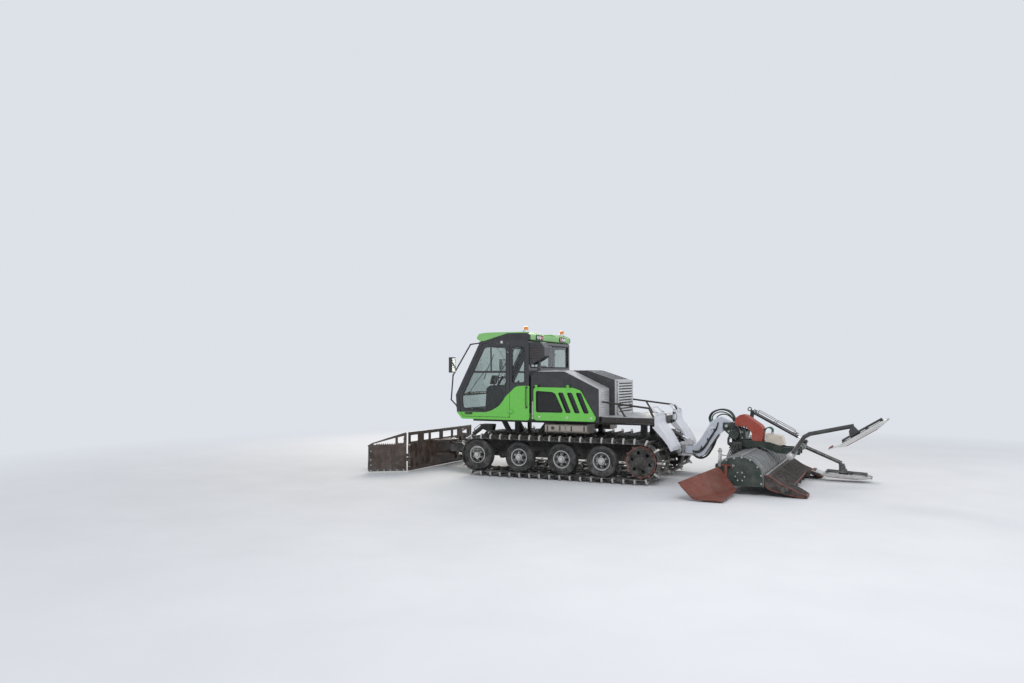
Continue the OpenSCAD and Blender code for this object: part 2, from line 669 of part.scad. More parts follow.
// Rear guards: curved aprons behind the tracks, each with an upright board and a grab handle
board_x = deck_back_x - seat;
board_top_z = 1240;
guard_back = [
    [board_x - 42, 1050], [board_x - 92, 985], [-2035, 890], [-2095, 795], [-2142, 705], [-2172, 640],
    [-2176, 582]
];
guard_front = [[-2152, 582], [-2098, 685], [-2008, 797], [-1876, 940], [-1816, platform_z - seat]];
guard_profile = concat(
    [[board_x, board_top_z], [board_x - 30, board_top_z]], guard_back, guard_front,
    [[board_x, platform_z - seat]]
);
module rear_guards() color("white") place() both_sides() {
    difference() {
        slab(rounded(guard_profile, 12), guard_y, deck_half_w);
        // Hollow behind the skin, open to the front
        slab(concat(
            [[board_x - 18, 1040]],
            [for (p = guard_back) [p[0] + guard_t + 4, p[1] - (p[0] > -2170 ? guard_t : 0)]],
            [for (p = guard_front) [p[0] + 60, p[1] - 20]]
        ), guard_y + guard_t, deck_half_w - guard_t);
    }
    inner = guard_y + 90;
    outer = deck_half_w - 90;
    stops = [
        [board_x - 15, outer, board_top_z - 5], [-1795, outer - 30, 1335], [-1795, inner + 30, 1335],
        [board_x - 15, inner, board_top_z - 5]
    ];
    for (i = [0:2]) rod(stops[i], stops[i + 1], 12);
    for (i = [1, 2]) translate(stops[i]) sphere(r = 14, $fn = 24);
}
// Lift bracket on the tub's rear face: back plate, side plates and lugs of the lift cylinder
bracket_x = tub_back_x - seat;
module lift_bracket() color("white") place() {
    translate([bracket_x - 30, -tower_y, 470]) cube([30, 2 * tower_y, 300]);
    both_sides() difference() {
        slab(rounded([
            [bracket_x - 1, 765], [bracket_x - 1, 450], [lift_x + 60, lift_z - 75],
            [lift_x - 66, lift_z - 66], [lift_x - 66, lift_z + 60],
            [lift_x + 10, lift_z + 72], [-2000, 700], [-1920, 765]
        ], 24), tower_y - tower_t, tower_y);
        cross_pin(lift_x, lift_z, lift_shaft_r + seat, tower_y - tower_t - 1, tower_y + 1);
    }
    for (y = lugs(lift_r)) difference() {
        slab(rounded([
            [bracket_x - 1, 640], [bracket_x - 1, 770], [lift_base[0] + 20, lift_base[1] + 42],
            [lift_base[0] - 40, lift_base[1] + 36],
            [lift_base[0] - 40, lift_base[1] - 40], [bracket_x - 50, 640]
        ], 16), y, y + 30);
        cross_pin(lift_base[0], lift_base[1], lift_pin_r + seat, y - 1, y + 31);
    }
}

// Lift cylinder: base pin on the bracket, rod eye on the fork
lift_base = [-1930, 868];
lift_eye = [-2285, 716];
lift_r = 46;
lift_pin_r = 18;
lift_eye_r = 16;
// Blade cylinder: base pin on the tub, rod eye on the push frame
blade_base = [1985, 860];
blade_eye = [2400, 560];
blade_r = 45;
blade_pin_r = 20;
blade_eye_r = 18;
// Setter cylinder: base pin on the right setter's arm, rod eye on the tiller frame
setter_base = [-3240, 1210];
setter_eye = [setter_x - 50, setter_z + 90];
setter_r = 30;
setter_pin_r = 14;
setter_reach = 0.85;
setter_eye_r = 12;
// Lower edges of the pair of lugs that hold a cylinder of radius r
lug_t = 30;
lug_gap = 6;
function lugs(r) = [-r - lug_gap - lug_t, r + lug_gap];
pin_end = lug_t + lug_gap + 6;
// Cylinder laid from a base pin to a rod eye in the side view; reach is the barrel's share of the length
module barrel(a, b, r, pin_r, reach = 0.58) {
    d = unit(b - a);
    n = norm(b - a);
    difference() {
        union() {
            cross_pin(a[0], a[1], pin_r + 16, -r, r);
            rod(along(a, d, pin_r + 6), along(a, d, n * reach), r);
        }
        rod(along(a, d, pin_r + 34), along(a, d, n), r * 0.55 + seat);
    }
    cross_pin(a[0], a[1], pin_r, -r - pin_end, r + pin_end);
}
function along(a, d, s) = [a[0] + d[0] * s, 0, a[1] + d[1] * s];
module piston(a, b, r, pin_r, slack, reach = 0.58) {
    d = unit(b - a);
    n = norm(b - a);
    difference() {
        union() {
            rod(along(a, d, n * (reach - 0.12)), along(a, d, n - pin_r - slack - 3), r * 0.55);
            cross_pin(b[0], b[1], pin_r + slack + 15, -r + 4, r - 4);
        }
        cross_pin(b[0], b[1], pin_r + slack, -r, r);
    }
}
module lift_barrel() color([0.12, 0.12, 0.12]) place() barrel(lift_base, lift_eye, lift_r, lift_pin_r);
module lift_rod() color("silver") place() piston(lift_base, lift_eye, lift_r, lift_eye_r, 7);
module blade_barrel() color([0.12, 0.12, 0.12]) place() barrel(blade_base, blade_eye, blade_r, blade_pin_r);
module blade_rod() color("silver") place() piston(blade_base, blade_eye, blade_r, blade_eye_r, 7);
module setter_barrel() color([0.12, 0.12, 0.12]) place() translate([0, -setter_y, 0])
    barrel(setter_base, setter_eye, setter_r, setter_pin_r, setter_reach);
module setter_rod() color("silver") place() translate([0, -setter_y, 0])
    piston(setter_base, setter_eye, setter_r, setter_eye_r, 9, setter_reach);

// Fork that turns on the tower's shaft and holds the swing pin
module lift_fork() color("gainsboro") place() {
    cross_pin(lift_x, lift_z, lift_shaft_r, -tower_y - 20, tower_y + 20);
    cross_pin(lift_x, lift_z, 62, -tower_y + tower_t + 4, tower_y - tower_t - 4);
    difference() {
        union() {
            for (z = [lift_z - 114, lift_z + 84]) translate([0, 0, z]) linear_extrude(height = 30)
                polygon(rounded([[lift_x + 20, -200], [lift_x + 20, 200], [swing_x - 70, 80],
                    [swing_x - 70, -80]], 40));
            translate([lift_x - 30, -200, lift_z - 114]) cube([60, 400, 228]);
        }
        translate([swing_x, 0, lift_z - 200]) cylinder(h = 400, r = 30, $fn = 40);
    }
    for (y = lugs(lift_r)) difference() {
        slab(rounded([
            [lift_eye[0] - 34, lift_eye[1] + 32], [lift_eye[0] + 34, lift_eye[1] + 32],
            [lift_eye[0] + 60, lift_z + 112],
            [lift_eye[0] - 50, lift_z + 112]
        ], 10), y, y + 30);
        cross_pin(lift_eye[0], lift_eye[1], lift_eye_r, y - 1, y + 31);
    }
    cross_pin(lift_eye[0], lift_eye[1], lift_eye_r, -lift_r - pin_end, lift_r + pin_end);
}
// Swan neck from the swing pin up to the tilt pin
module swan_neck() color("gainsboro") place() {
    difference() {
        slab(rounded([
            [swing_x + 75, lift_z - 75], [swing_x + 75, lift_z + 75], [-2360, lift_z + 62],
            [-2400, lift_z + 70], [-2470, 720], [-2600, 920],
            [-2720, 1090], [-2840, 1150], [-3010, 1070], [-3020, 960], [-2920, 925], [-2800, 840],
            [-2680, 660],
            [-2560, 480], [-2450, 420], [swing_x - 122, lift_z - 76]
        ], 40), -neck_half_w, neck_half_w);
        cross_pin(tilt_x, tilt_z, 30 + seat, -neck_half_w - 1, neck_half_w + 1);
        translate([lift_x - 32 - run, -250, lift_z - 200]) cube([100, 500, 400]);
    }
    translate([swing_x, 0, lift_z - 124]) cylinder(h = 236, r = 30 - seat, $fn = 40);
}

// Inner face of the plates that carry the hood and the pump box
saddle_y = neck_half_w + 44;
// Tiller frame: tilt ears, head, cross beam, saddle plates, setter tube and cylinder post
module tiller_frame() color([0.1, 0.2, 0.14]) place() {
    both_sides() {
        slab(rounded([
            [tilt_x + 60, tilt_z + 60], [tilt_x + 60, tilt_z - 60], [-3050, 800], [-3060, 480],
            [-3097, 480], [-3140, 640],
            [-3290, 700], [-3290, 940], [-3125, 985], [-3090, tilt_z + 60]
        ], 12), neck_half_w + 6, saddle_y + 2);
        slab(rounded([
            [-3120, 680], [-3300, 640], [-3600, 660], [-3800, 560], [setter_x - 60, setter_z - 60],
            [setter_x - 60, setter_z + 60],
            [-3950, setter_z + 60], [-3700, 740], [-3120, 780]
        ], 16), saddle_y, saddle_y + 40);
    }
    cross_pin(tilt_x, tilt_z, 30, -neck_half_w - 60, neck_half_w + 60);
    translate([-3097, -tiller_half_w + 40, 330]) cube([47, 2 * tiller_half_w - 80, 150]);
    translate([-3290, -neck_half_w - 20, 720]) cube([160, 2 * neck_half_w + 40, 180]);
    // Block that takes the hoses
    translate([hose_end_x - 20, -neck_half_w - 8, hose_end_z - 46]) cube([40, 2 * neck_half_w + 16, 46]);
    cross_pin(setter_x, setter_z, setter_tube_r, -setter_y - 130, setter_y + 130);
    // Post of the setter cylinder
    for (v = lugs(setter_r)) let(y = v - setter_y) difference() {
        slab([
            [-3060, 470], [-3097, 470], [setter_base[0] - 30, setter_base[1] - 20],
            [setter_base[0] - 25, setter_base[1] + 30],
            [setter_base[0] + 25, setter_base[1] + 30], [setter_base[0] + 30, setter_base[1] - 20]
        ], y, y + 30);
        cross_pin(setter_base[0], setter_base[1], setter_pin_r + seat, y - 1, y + 31);
    }
}
// Casing over the rotor, open below, with end plates
casing_outer = [
    [-3098, 150], [-3098, 470], [-3160, 540], [-3280, 600], [-3475, 628], [-3640, 570], [-3760, 440],
    [-3795, 300], [-3795, 150]
];
casing_inner = [
    [-3118, 100], [-3118, 460], [-3174, 524], [-3286, 581], [-3472, 608], [-3628, 553], [-3742, 430],
    [-3775, 298], [-3775, 100]
];
module tiller_casing() color([0.3, 0.33, 0.33]) place() {
    difference() {
        slab(casing_outer, -tiller_half_w, tiller_half_w);
        slab(casing_inner, -tiller_half_w + casing_t, tiller_half_w - casing_t);
        cross_pin(rotor_x, rotor_z, 40 + seat, -tiller_half_w - 1, tiller_half_w + 1);
    }
    // Ears of the side finishers
    both_sides() for (x = finisher_ear_x) difference() {
        translate([x, tiller_half_w - 2, finisher_hinge_z - 26]) cube([15, 76, 52]);
        translate([x - 1, finisher_hinge_y, finisher_hinge_z]) rotate([0, 90, 0])
            cylinder(h = 17, r = 14 + seat, $fn = 32);
    }
}
module rotor() color("dimgray") place() {
    cross_pin(rotor_x, rotor_z, drum_r, -tiller_half_w + casing_t + run, tiller_half_w - casing_t - run);
    cross_pin(rotor_x, rotor_z, 40, -tiller_half_w - 10, tiller_half_w + 10);
    // Cutters in rows that step round the drum
    for (i = [0:23]) translate([rotor_x, -tiller_half_w + 110 + i * (2 * tiller_half_w - 220) / 23,
        rotor_z])
        rotate([0, i * 37, 0]) for (a = [0, 180]) rotate([0, a, 0])
            translate([-20, -8, drum_r - 5]) cube([40, 16, cutter_r - drum_r + 5]);
}
// Side finisher: a leaning face plate and a trailing floor plate, hinged along x
finisher_hinge_y = tiller_half_w + 50;
finisher_hinge_z = 470;
finisher_ear_x = [-3345, -3150];
module side_finisher() {
    y0 = finisher_hinge_y;
    module plate(points, t) hull() for (p = points) translate(p) sphere(r = t / 2, $fn = 12);
    face = [[-3120, y0 + 50, 430], [-3360, y0 + 50, 130], [-2900, finisher_y - 30, 50],
        [-2690, finisher_y - 30, 260]];
    normal = unit(cross(face[1] - face[0], face[3] - face[0]));
    // Panel with corners of this radius
    r = 70;
    hull() for (i = [0:3]) let(p = face[i],
        a = unit(face[(i + 1) % 4] - p), b = unit(face[(i + 3) % 4] - p))
        translate(p + (a + b) * (r - 11)) rotate([0, acos(normal[2]), atan2(normal[1], normal[0])])
            cylinder(h = 22, r = r, center = true, $fn = 40);
    plate([[-3360, y0 + 50, 120], [-3400, y0 + 60, 100], [-3340, finisher_y - 20, 28],
        [-2900, finisher_y - 30, 40]], 22);
    rod([finisher_ear_x[0] - 10, y0, finisher_hinge_z], [finisher_ear_x[1] + 25, y0, finisher_hinge_z], 14);
    translate([-3255, 0, 0]) rotate([90, 0, 90]) linear_extrude(height = 40) polygon([
        [y0 - 10, finisher_hinge_z + 8], [y0 + 12, finisher_hinge_z + 8], [y0 + 60, 310], [y0 + 60, 268],
        [y0 + 42, 268],
        [y0 - 10, finisher_hinge_z - 14]
    ]);
}
module side_finisher_left() color("sienna") place() side_finisher();
module side_finisher_right() color("sienna") place() mirror([0, 1, 0]) side_finisher();
// Rear finisher: a flexible mat on ribs behind the casing, shorter between the two ends
mat_t = 24;
mat_top = [[-3795 - seat, 330], [-3850, 340], [-4060, 200], [finisher_back_x + 30, 50],
    [finisher_back_x, 16]];
module rear_finisher() color([0.35, 0.2, 0.16]) place() difference() {
    w = tiller_half_w - 50;
    union() {
        slab(concat(mat_top, [
            [finisher_back_x + 60, 16], [-4090, 200 - mat_t - 10], [-3860, 340 - mat_t - 8],
            [-3795 - seat, 330 - mat_t]
        ]), -w, w);
        for (i = [0:6]) let(y = -w + i * (2 * w - 16) / 6)
            slab(concat(mat_top, [[-4300, 16], [-3900, 100], [-3795 - seat, 180]]), y, y + 16);
    }
    translate([0, 0, -10]) linear_extrude(height = 300) polygon([
        [-4190, -1000], [-4190, 1000], [finisher_back_x - 1, 1160], [finisher_back_x - 1, -1160]
    ]);
}
module guard_hood() color("firebrick") place() slab(rounded([
    [-3295, 1000], [-3110, 1010], [-3120, 1140], [-3200, 1200], [-3290, 1195], [-3560, 1010], [-3590, 940],
    [-3560, 700],
    [-3480, 670], [-3400, 700], [-3400, 900]
], 30), -saddle_y + seat, saddle_y - seat);
module pump_box() color("antiquewhite") place() slab(rounded([
    [-3620, 690], [-3620, 880], [-3900, 850], [-3940, 700], [-3800, 680]
], 16), -saddle_y + seat, saddle_y - seat);

// Hoses that loop from the neck up and over to the tiller head
hose_r = 14;
hose_end_x = -3080;
hose_end_z = 1046;
hose_path = [
    [-2668, 1040], [-2640, 1130], [-2690, 1225], [-2790, 1275], [-2890, 1285], [-2990, 1255], [-3055, 1185],
    [hose_end_x + 2, 1110], [hose_end_x, hose_end_z + seat]
];
module hose(y) {
    n = 8;
    p = hose_path;
    c = len(p);
    function dir(i) = unit(p[min(i + 1, c - 1)] - p[max(i - 1, 0)]);
    ring = [for (i = [0:c - 1]) for (k = [0:n - 1]) let(a = 360 * k / n, d = dir(i), s = hose_r * cos(a))
        [p[i][0] - d[1] * s, y + hose_r * sin(a), p[i][1] + d[0] * s]];
    faces = concat(
        [[for (k = [0:n - 1]) k]], [[for (k = [n - 1:-1:0]) (c - 1) * n + k]],
        [for (i = [0:c - 2]) for (k = [0:n - 1]) [i * n + k, (i + 1) * n + k, (i + 1) * n + (k + 1) % n,
        i * n + (k + 1) % n]]
    );
    polyhedron(ring, faces);
}
module hoses() color([0.1, 0.12, 0.1]) place() for (y = [-60, 0, 60]) hose(y);

// Track setters
skid_top = skid_h + 14;
// The setter plate lies along its own x, from its upturned front tip at 0 back, its skids' floor at z = 0
module setter_plate() {
    h = setter_w / 2;
    e = -setter_len;
    slab([[0, 90], [0, 104], [-190, skid_top], [e, skid_top], [e, skid_h], [-190, skid_h]], -h, h);
    for (y = [-h + 20, h - 90]) slab([[-120, 58], [-240, 0], [e + 200, 0], [e + 20, skid_h + 4]],
        y, y + 70);
}
// Places of the right plate, on the ground, and of the left one, stowed up
module laid_down() translate([-4290, 0, 90]) rotate([0, -3, 0]) children();
module raised() translate([raised_x, 0, raised_z]) rotate([0, raised_ang, 0]) children();
module setter_arm_right() color([0.12, 0.12, 0.12]) place() translate([0, -setter_y, 0]) {
    difference() {
        union() {
            cross_pin(setter_x, setter_z, setter_tube_r + 16, -90, 90);
            rod([setter_x, 0, setter_z], [-4790, 0, 320], 34);
            laid_down() slab([[-450, skid_top + seat], [-440, 250], [-530, 250], [-600, skid_top + seat]],
                -60, 60);
            for (y = lugs(setter_r)) slab(rounded([
                [setter_x - 40, setter_z], [setter_x + 40, setter_z],
                [setter_eye[0] + 32, setter_eye[1] + 24], [setter_eye[0] - 32, setter_eye[1] + 24]
            ], 12), y, y + 30);
            cross_pin(setter_eye[0], setter_eye[1], setter_eye_r, -setter_r - pin_end, setter_r + pin_end);
        }
        cross_pin(setter_x, setter_z, setter_tube_r + seat, -91, 91);
    }
}
module setter_plate_right() color("silver") place() translate([0, -setter_y, 0]) laid_down() setter_plate();
module setter_arm_left() color([0.12, 0.12, 0.12]) place() translate([0, setter_y, 0]) {
    difference() {
        union() {
            cross_pin(setter_x, setter_z, setter_tube_r + 16, -90, 90);
            tube([[setter_x, 0, setter_z], [-4345, 0, 910], [-4430, 0, 960], [-5090, 0, 1110]], 34);
            raised() slab([[-360, skid_top + seat], [-400, 180], [-500, 250], [-540, skid_top + seat]],
                -60, 60);
        }
        cross_pin(setter_x, setter_z, setter_tube_r + seat, -91, 91);
    }
}
module setter_plate_left() color("silver") place() translate([0, setter_y, 0]) raised() setter_plate();

// Blade
module push_frame() color([0.14, 0.14, 0.15]) place() {
    difference() {
        union() {
            for (y = [-255, 215]) {
                slab(rounded([[push_x - 50, push_z - 45], [push_x - 50, push_z + 45], [2560, 520],
                    [2640, 480], [2640, 330], [2500, 330]], 30), y, y + 40);
            }
            translate([2560, -255, 330]) cube([60, 510, 150]);
            translate([swivel_x, 0, 300]) cylinder(h = 210, r = 85, $fn = 48);
            translate([2600, -85, 330]) cube([100, 170, 150]);
            translate([blade_eye[0] - 60, -255, 400]) cube([80, 510, 60]);
        }
        translate([swivel_x, 0, 200]) cylinder(h = 400, r = 40 + seat, $fn = 48);
    }
    for (y = [-255, 215]) cross_pin(push_x, push_z, 29.7, y - 36, y + 76);
    for (y = lugs(blade_r)) difference() {
        slab(rounded([[blade_eye[0] - 60, 430], [blade_eye[0] + 20, 430],
            [blade_eye[0] + 36, blade_eye[1] + 34], [blade_eye[0] - 36, blade_eye[1] + 34]],
            10), y, y + 30);
        cross_pin(blade_eye[0], blade_eye[1], 18, y - 1, y + 31);
    }
    cross_pin(blade_eye[0], blade_eye[1], 18, -blade_r - pin_end, blade_r + pin_end);
}
// Section of the blade: curved plate, shelf and cutting edge (x from the plate line, z)
blade_section = [
    [-25, 60], [-10, 20], [30, 16], [22, 60], [5, 200], [70, 205], [70, 225], [4, 228], [0, 380],
    [25, 520], [25, blade_top_z],
    [0, blade_top_z], [0, 520], [-25, 380], [-25, 200]
];
module blade_middle() color([0.2, 0.15, 0.13]) place() {
    difference() {
        translate([blade_x, 0, 0]) slab(blade_section, -blade_half_w, blade_half_w);
        // Windows in the top grid: y start, y end
        for (w = [[60, 430], [490, 700], [900, 1190]]) both_sides()
            translate([blade_x - 50, w[0], 560]) cube([150, w[1] - w[0], 150]);
    }
    // Swivel head with the pin
    translate([swivel_x, 0, 250]) cylinder(h = 310, r = 40, $fn = 48);
    for (z = [250, 520]) translate([0, 0, z]) linear_extrude(height = 40)
        polygon(rounded([[swivel_x - 80, -80], [swivel_x - 80, 80], [blade_x - 30, 420],
            [blade_x - 30, -420]], 50));
    translate([blade_x - 90, -420, 250]) cube([66, 840, 310]);
    both_sides() for (z = [120, 420]) translate([wing_hinge_x, blade_half_w + 40, z]) difference() {
        union() {
            cylinder(h = 100, r = 26, $fn = 32);
            translate([-5, -60, 0]) cube([20, 50, 100]);
        }
        translate([0, 0, -1]) cylinder(h = 102, r = 12, $fn = 32);
    }
}
// Wing in its own plane: length along x from the hinge, height along z
module wing() {
    difference() {
        translate([0, wing_t / 2, 0]) rotate([90, 0, 0]) linear_extrude(height = wing_t) polygon([
            [50, 24], [wing_len - 20, 24], [wing_len, 60], [wing_len - 10, 500], [wing_len - 80, 560],
            [50, blade_top_z]
        ]);
        translate([0, 20, 0]) rotate([90, 0, 0]) linear_extrude(height = 40) polygon([
            [270, 540], [690, 540], [690, 560], [270, 670]
        ]);
        translate([0, 20, 0]) rotate([90, 0, 0]) linear_extrude(height = 40) polygon([
            [100, 560], [220, 560], [220, 680], [100, 705]
        ]);
    }
    for (z = [222, 300]) translate([0, 0, z]) {
        cylinder(h = 60, r = 26, $fn = 32);
        translate([5, -10, 0]) cube([60, 20, 60]);
    }
    translate([0, 0, 110]) cylinder(h = 420, r = 11.7, $fn = 32);
    translate([60, -50, 200]) cube([wing_len - 90, 45, 24]);
}
module wing_at() translate([wing_hinge_x, blade_half_w + 40, 0]) rotate([0, 0, wing_ang]) wing();
module blade_wing_left() color([0.2, 0.15, 0.13]) place() wing_at();
module blade_wing_right() color([0.2, 0.15, 0.13]) place() mirror([0, 1, 0]) wing_at();

chassis_frame();
tyres();
rims();
sprockets();
track_left();
track_right();
side_tanks();
engine_block();
engine_body();
engine_cover();
centre_hood();
cooler();
rear_deck();
rear_guards();
lift_bracket();
cab_frame();
cab_roof();
cab_glass();
cab_interior();
intake_pod();
roof_lights();
mirrors();
side_canister();
door_left();
door_right();
door_glass_left();
door_glass_right();
side_panel_left();
side_panel_right();
push_frame();
blade_barrel();
blade_rod();
blade_middle();
blade_wing_left();
blade_wing_right();
lift_fork();
lift_barrel();
lift_rod();
swan_neck();
tiller_frame();
tiller_casing();
rotor();
side_finisher_left();
side_finisher_right();
rear_finisher();
guard_hood();
pump_box();
hoses();
setter_arm_left();
setter_arm_right();
setter_plate_left();
setter_plate_right();
setter_barrel();
setter_rod();
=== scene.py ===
"""Looks of the snow groomer: materials, light, camera and the small parts on the CAD frame."""
import math

import bmesh
import bpy
from mathutils import Matrix, Vector


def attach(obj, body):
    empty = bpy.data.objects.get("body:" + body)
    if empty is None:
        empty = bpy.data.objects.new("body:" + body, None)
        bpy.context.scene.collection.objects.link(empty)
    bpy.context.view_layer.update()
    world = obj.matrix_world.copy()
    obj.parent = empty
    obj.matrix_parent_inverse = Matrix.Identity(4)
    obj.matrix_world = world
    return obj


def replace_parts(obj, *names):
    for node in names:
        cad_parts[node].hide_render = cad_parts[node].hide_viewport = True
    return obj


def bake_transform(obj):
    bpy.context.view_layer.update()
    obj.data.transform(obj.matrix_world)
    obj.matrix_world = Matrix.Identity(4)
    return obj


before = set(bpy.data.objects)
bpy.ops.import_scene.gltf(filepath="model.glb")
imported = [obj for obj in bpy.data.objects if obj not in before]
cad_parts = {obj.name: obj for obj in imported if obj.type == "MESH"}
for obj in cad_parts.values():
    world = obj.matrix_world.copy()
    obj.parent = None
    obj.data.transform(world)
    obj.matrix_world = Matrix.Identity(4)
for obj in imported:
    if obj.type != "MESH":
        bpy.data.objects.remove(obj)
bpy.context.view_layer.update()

# The drawing's stations count from the middle of the tracks; the model's own x is OX further
OX = 0.98892
SIDES = ((1, "left"), (-1, "right"))
OUT, TOP, FRONT, BACK = (0, 1, 0), (0, 0, 1), (1, 0, 0), (-1, 0, 0)

# Stations that paints and parts share; WHEELS holds each wheel's x, z and tyre radius
IDLER, SPROCKET, AXLE_Z, WHEEL_Y = 1.5, -1.7, 0.4, 1.12
WHEELS = ((-0.98, 0.3803, 0.28), (-0.22, 0.3803, 0.28), (0.63, 0.3803, 0.28), (IDLER, AXLE_Z, 0.2997))


def at(x, y, z):
    """Place of the drawing in the model."""
    return Vector((x + OX, y, z))


def tilted(angle, axis="Y"):
    return Matrix.Rotation(angle, 4, axis)


# Materials
class Shader:
    """One node material, with short calls for the nodes that recur."""

    def __init__(self, name):
        self.mat = bpy.data.materials.new(name)
        self.mat.use_nodes = True
        self.tree = self.mat.node_tree
        self.bsdf = self.tree.nodes["Principled BSDF"]
        self.here = self.node("ShaderNodeTexCoord").outputs["Object"]
        self.x, self.y, self.z = self.put(self.node("ShaderNodeSeparateXYZ"), Vector=self.here).outputs

    def node(self, kind, **values):
        made = self.tree.nodes.new(kind)
        for key, value in values.items():
            setattr(made, key, value)
        return made

    def feed(self, socket, value):
        if isinstance(value, bpy.types.NodeSocket):
            self.tree.links.new(value, socket)
        else:
            socket.default_value = value

    def put(self, made, **values):
        for key, value in values.items():
            self.feed(made.inputs[key.replace("_", " ")], value)
        return made

    def math(self, kind, a, b=0.0, clamp=False):
        made = self.node("ShaderNodeMath", operation=kind, use_clamp=clamp)
        self.feed(made.inputs[0], a)
        self.feed(made.inputs[1], b)
        return made.outputs[0]

    def times(self, a, b, clamp=False):
        return self.math("MULTIPLY", a, b, clamp)

    def reach(self, a, b):
        """Length of the vector (a, b)."""
        return self.math("SQRT", self.math("ADD", self.times(a, a), self.times(b, b)))

    def noise(self, scale, detail=4.0, stretch=(1, 1, 1), rough=0.55):
        place = self.put(self.node("ShaderNodeMapping"), Vector=self.here, Scale=stretch)
        return self.put(self.node("ShaderNodeTexNoise"), Vector=place.outputs[0], Scale=scale, Detail=detail,
                        Roughness=rough).outputs["Fac"]

    def span(self, value, low, high, to_low=0.0, to_high=1.0):
        made = self.node("ShaderNodeMapRange", clamp=True)
        for socket, number in zip(made.inputs[:5], (value, low, high, to_low, to_high)):
            self.feed(socket, number)
        return made.outputs[0]

    def mix(self, factor, a, b):
        made = self.node("ShaderNodeMix", data_type="RGBA")
        for index, value in ((0, factor), (6, a), (7, b)):
            self.feed(made.inputs[index], (*value, 1) if isinstance(value, tuple) else value)
        return made.outputs[2]

    def cloudy(self, scale, a, b, detail=4.0, stretch=(1, 1, 1)):
        return self.mix(self.span(self.noise(scale, detail, stretch), 0.3, 0.7), a, b)

    def bump(self, height, strength, distance=0.002):
        made = self.put(self.node("ShaderNodeBump"), Strength=strength, Distance=distance, Height=height)
        self.put(self.bsdf, Normal=made.outputs[0])


DUST, GREEN, BLACK = (0.42, 0.40, 0.37), (0.16, 0.62, 0.07), (0.022, 0.022, 0.024)


def finish(name, colour, rough=0.4, metal=0.0, coat=0.0, tone=0.12, size=3.0, grain=240.0, relief=0.12,
           grime=0.25, grime_top=1.1, stretch=(1, 1, 1), paint=None):
    """Painted, cast, moulded or bare metal: colour drift, dried spray, uneven gloss and fine relief."""
    s = Shader(name)
    base = paint(s) if paint else s.cloudy(size, tuple(c * (1 - tone) for c in colour),
                                           tuple(min(1, c * (1 + tone)) for c in colour), stretch=stretch)
    low = s.span(s.z, grime_top * 0.15, grime_top, 1.0, 0.12)
    patches = s.span(s.noise(7.0, 8.0, rough=0.7), 0.42, 0.72)
    dirt = s.times(s.times(low, patches), grime * 2, True)
    gloss = s.span(s.noise(26.0, 6.0, stretch), 0.3, 0.7, rough * 0.8, min(1, rough * 1.25))
    s.put(s.bsdf, Base_Color=s.mix(dirt, base, DUST), Metallic=metal, Coat_Weight=coat, Coat_Roughness=0.08,
          Roughness=s.math("ADD", gloss, s.times(dirt, 0.35), True))
    s.bump(s.noise(grain, 3.0, stretch), relief)
    return s.mat


def swoosh(s):
    """Green below a curve that drops from the rear of the cab to the foot of the door glass, dark above."""
    curve = s.node("ShaderNodeFloatCurve")
    line = curve.mapping.curves[0]
    x0, x1, z0 = 0.5, 2.1, 1.0
    points = ((x0, 1.70), (0.67, 1.70), (0.76, 1.685), (0.86, 1.61), (1.24, 1.27), (1.33, 1.215),
              (1.45, 1.19), (x1, 1.185))
    for i, (x, z) in enumerate(points):
        spot = ((x - x0) / (x1 - x0), z - z0)
        if i < 2:
            line.points[i].location = spot
        else:
            line.points.new(*spot)
    curve.mapping.update()
    s.put(curve, Value=s.span(s.x, x0 + OX, x1 + OX))
    outside = s.math("GREATER_THAN", s.math("ABSOLUTE", s.y), 1.005)
    side = s.times(s.math("LESS_THAN", s.z, s.math("ADD", curve.outputs[0], z0)), outside)
    return s.mix(s.math("MAXIMUM", side, s.math("LESS_THAN", s.z, 1.19)), (0.018, 0.018, 0.02), GREEN)


def sprocket_wear(s):
    """Red oxide on the toothed rim, dark and greasy towards the axle."""
    reach = s.reach(s.math("SUBTRACT", s.x, SPROCKET + OX), s.math("SUBTRACT", s.z, AXLE_Z))
    reach = s.math("ADD", reach, s.span(s.noise(14.0, 6.0), 0.3, 0.7, -0.02, 0.02))
    return s.mix(s.span(reach, 0.235, 0.262), (0.020, 0.018, 0.017), (0.15, 0.045, 0.030))


def track_wear_and_highlight(s):
    """Rubber belt, dark cross bars and their lighter tips, told apart by the distance from the wheels' line.

    The tips' lighter colour is partly worn metal and partly a painted highlight.
    """
    over = s.math("MAXIMUM", s.math("SUBTRACT", s.x, IDLER + OX), s.math("SUBTRACT", SPROCKET + OX, s.x))
    reach = s.reach(s.math("MAXIMUM", over, 0.0), s.math("SUBTRACT", s.z, AXLE_Z))
    rough = s.math("ADD", reach, s.span(s.noise(30.0, 5.0), 0.3, 0.7, -0.006, 0.006))
    # The bars' outer part is painted lighter: partly worn metal tips, partly a painted highlight
    bar = s.mix(s.span(rough, 0.350, 0.396), (0.075, 0.068, 0.062), (0.36, 0.34, 0.31))
    return s.mix(s.span(reach, 0.3186, 0.3196), (0.026, 0.025, 0.024), bar)


def wheel_rim(s):
    """Bright outer ring and hub with a dark ring of spokes between them, about each wheel's axle."""
    axle_z, near = 0.384, 9.0
    z = s.math("SUBTRACT", s.z, axle_z)
    for x, _, _ in WHEELS:
        near = s.math("MINIMUM", near, s.reach(s.math("SUBTRACT", s.x, x + OX), z))
    ring = s.times(s.span(near, 0.060, 0.066), s.span(near, 0.136, 0.142, 1.0, 0.0))
    return s.mix(ring, (0.62, 0.62, 0.60), (0.10, 0.10, 0.10))


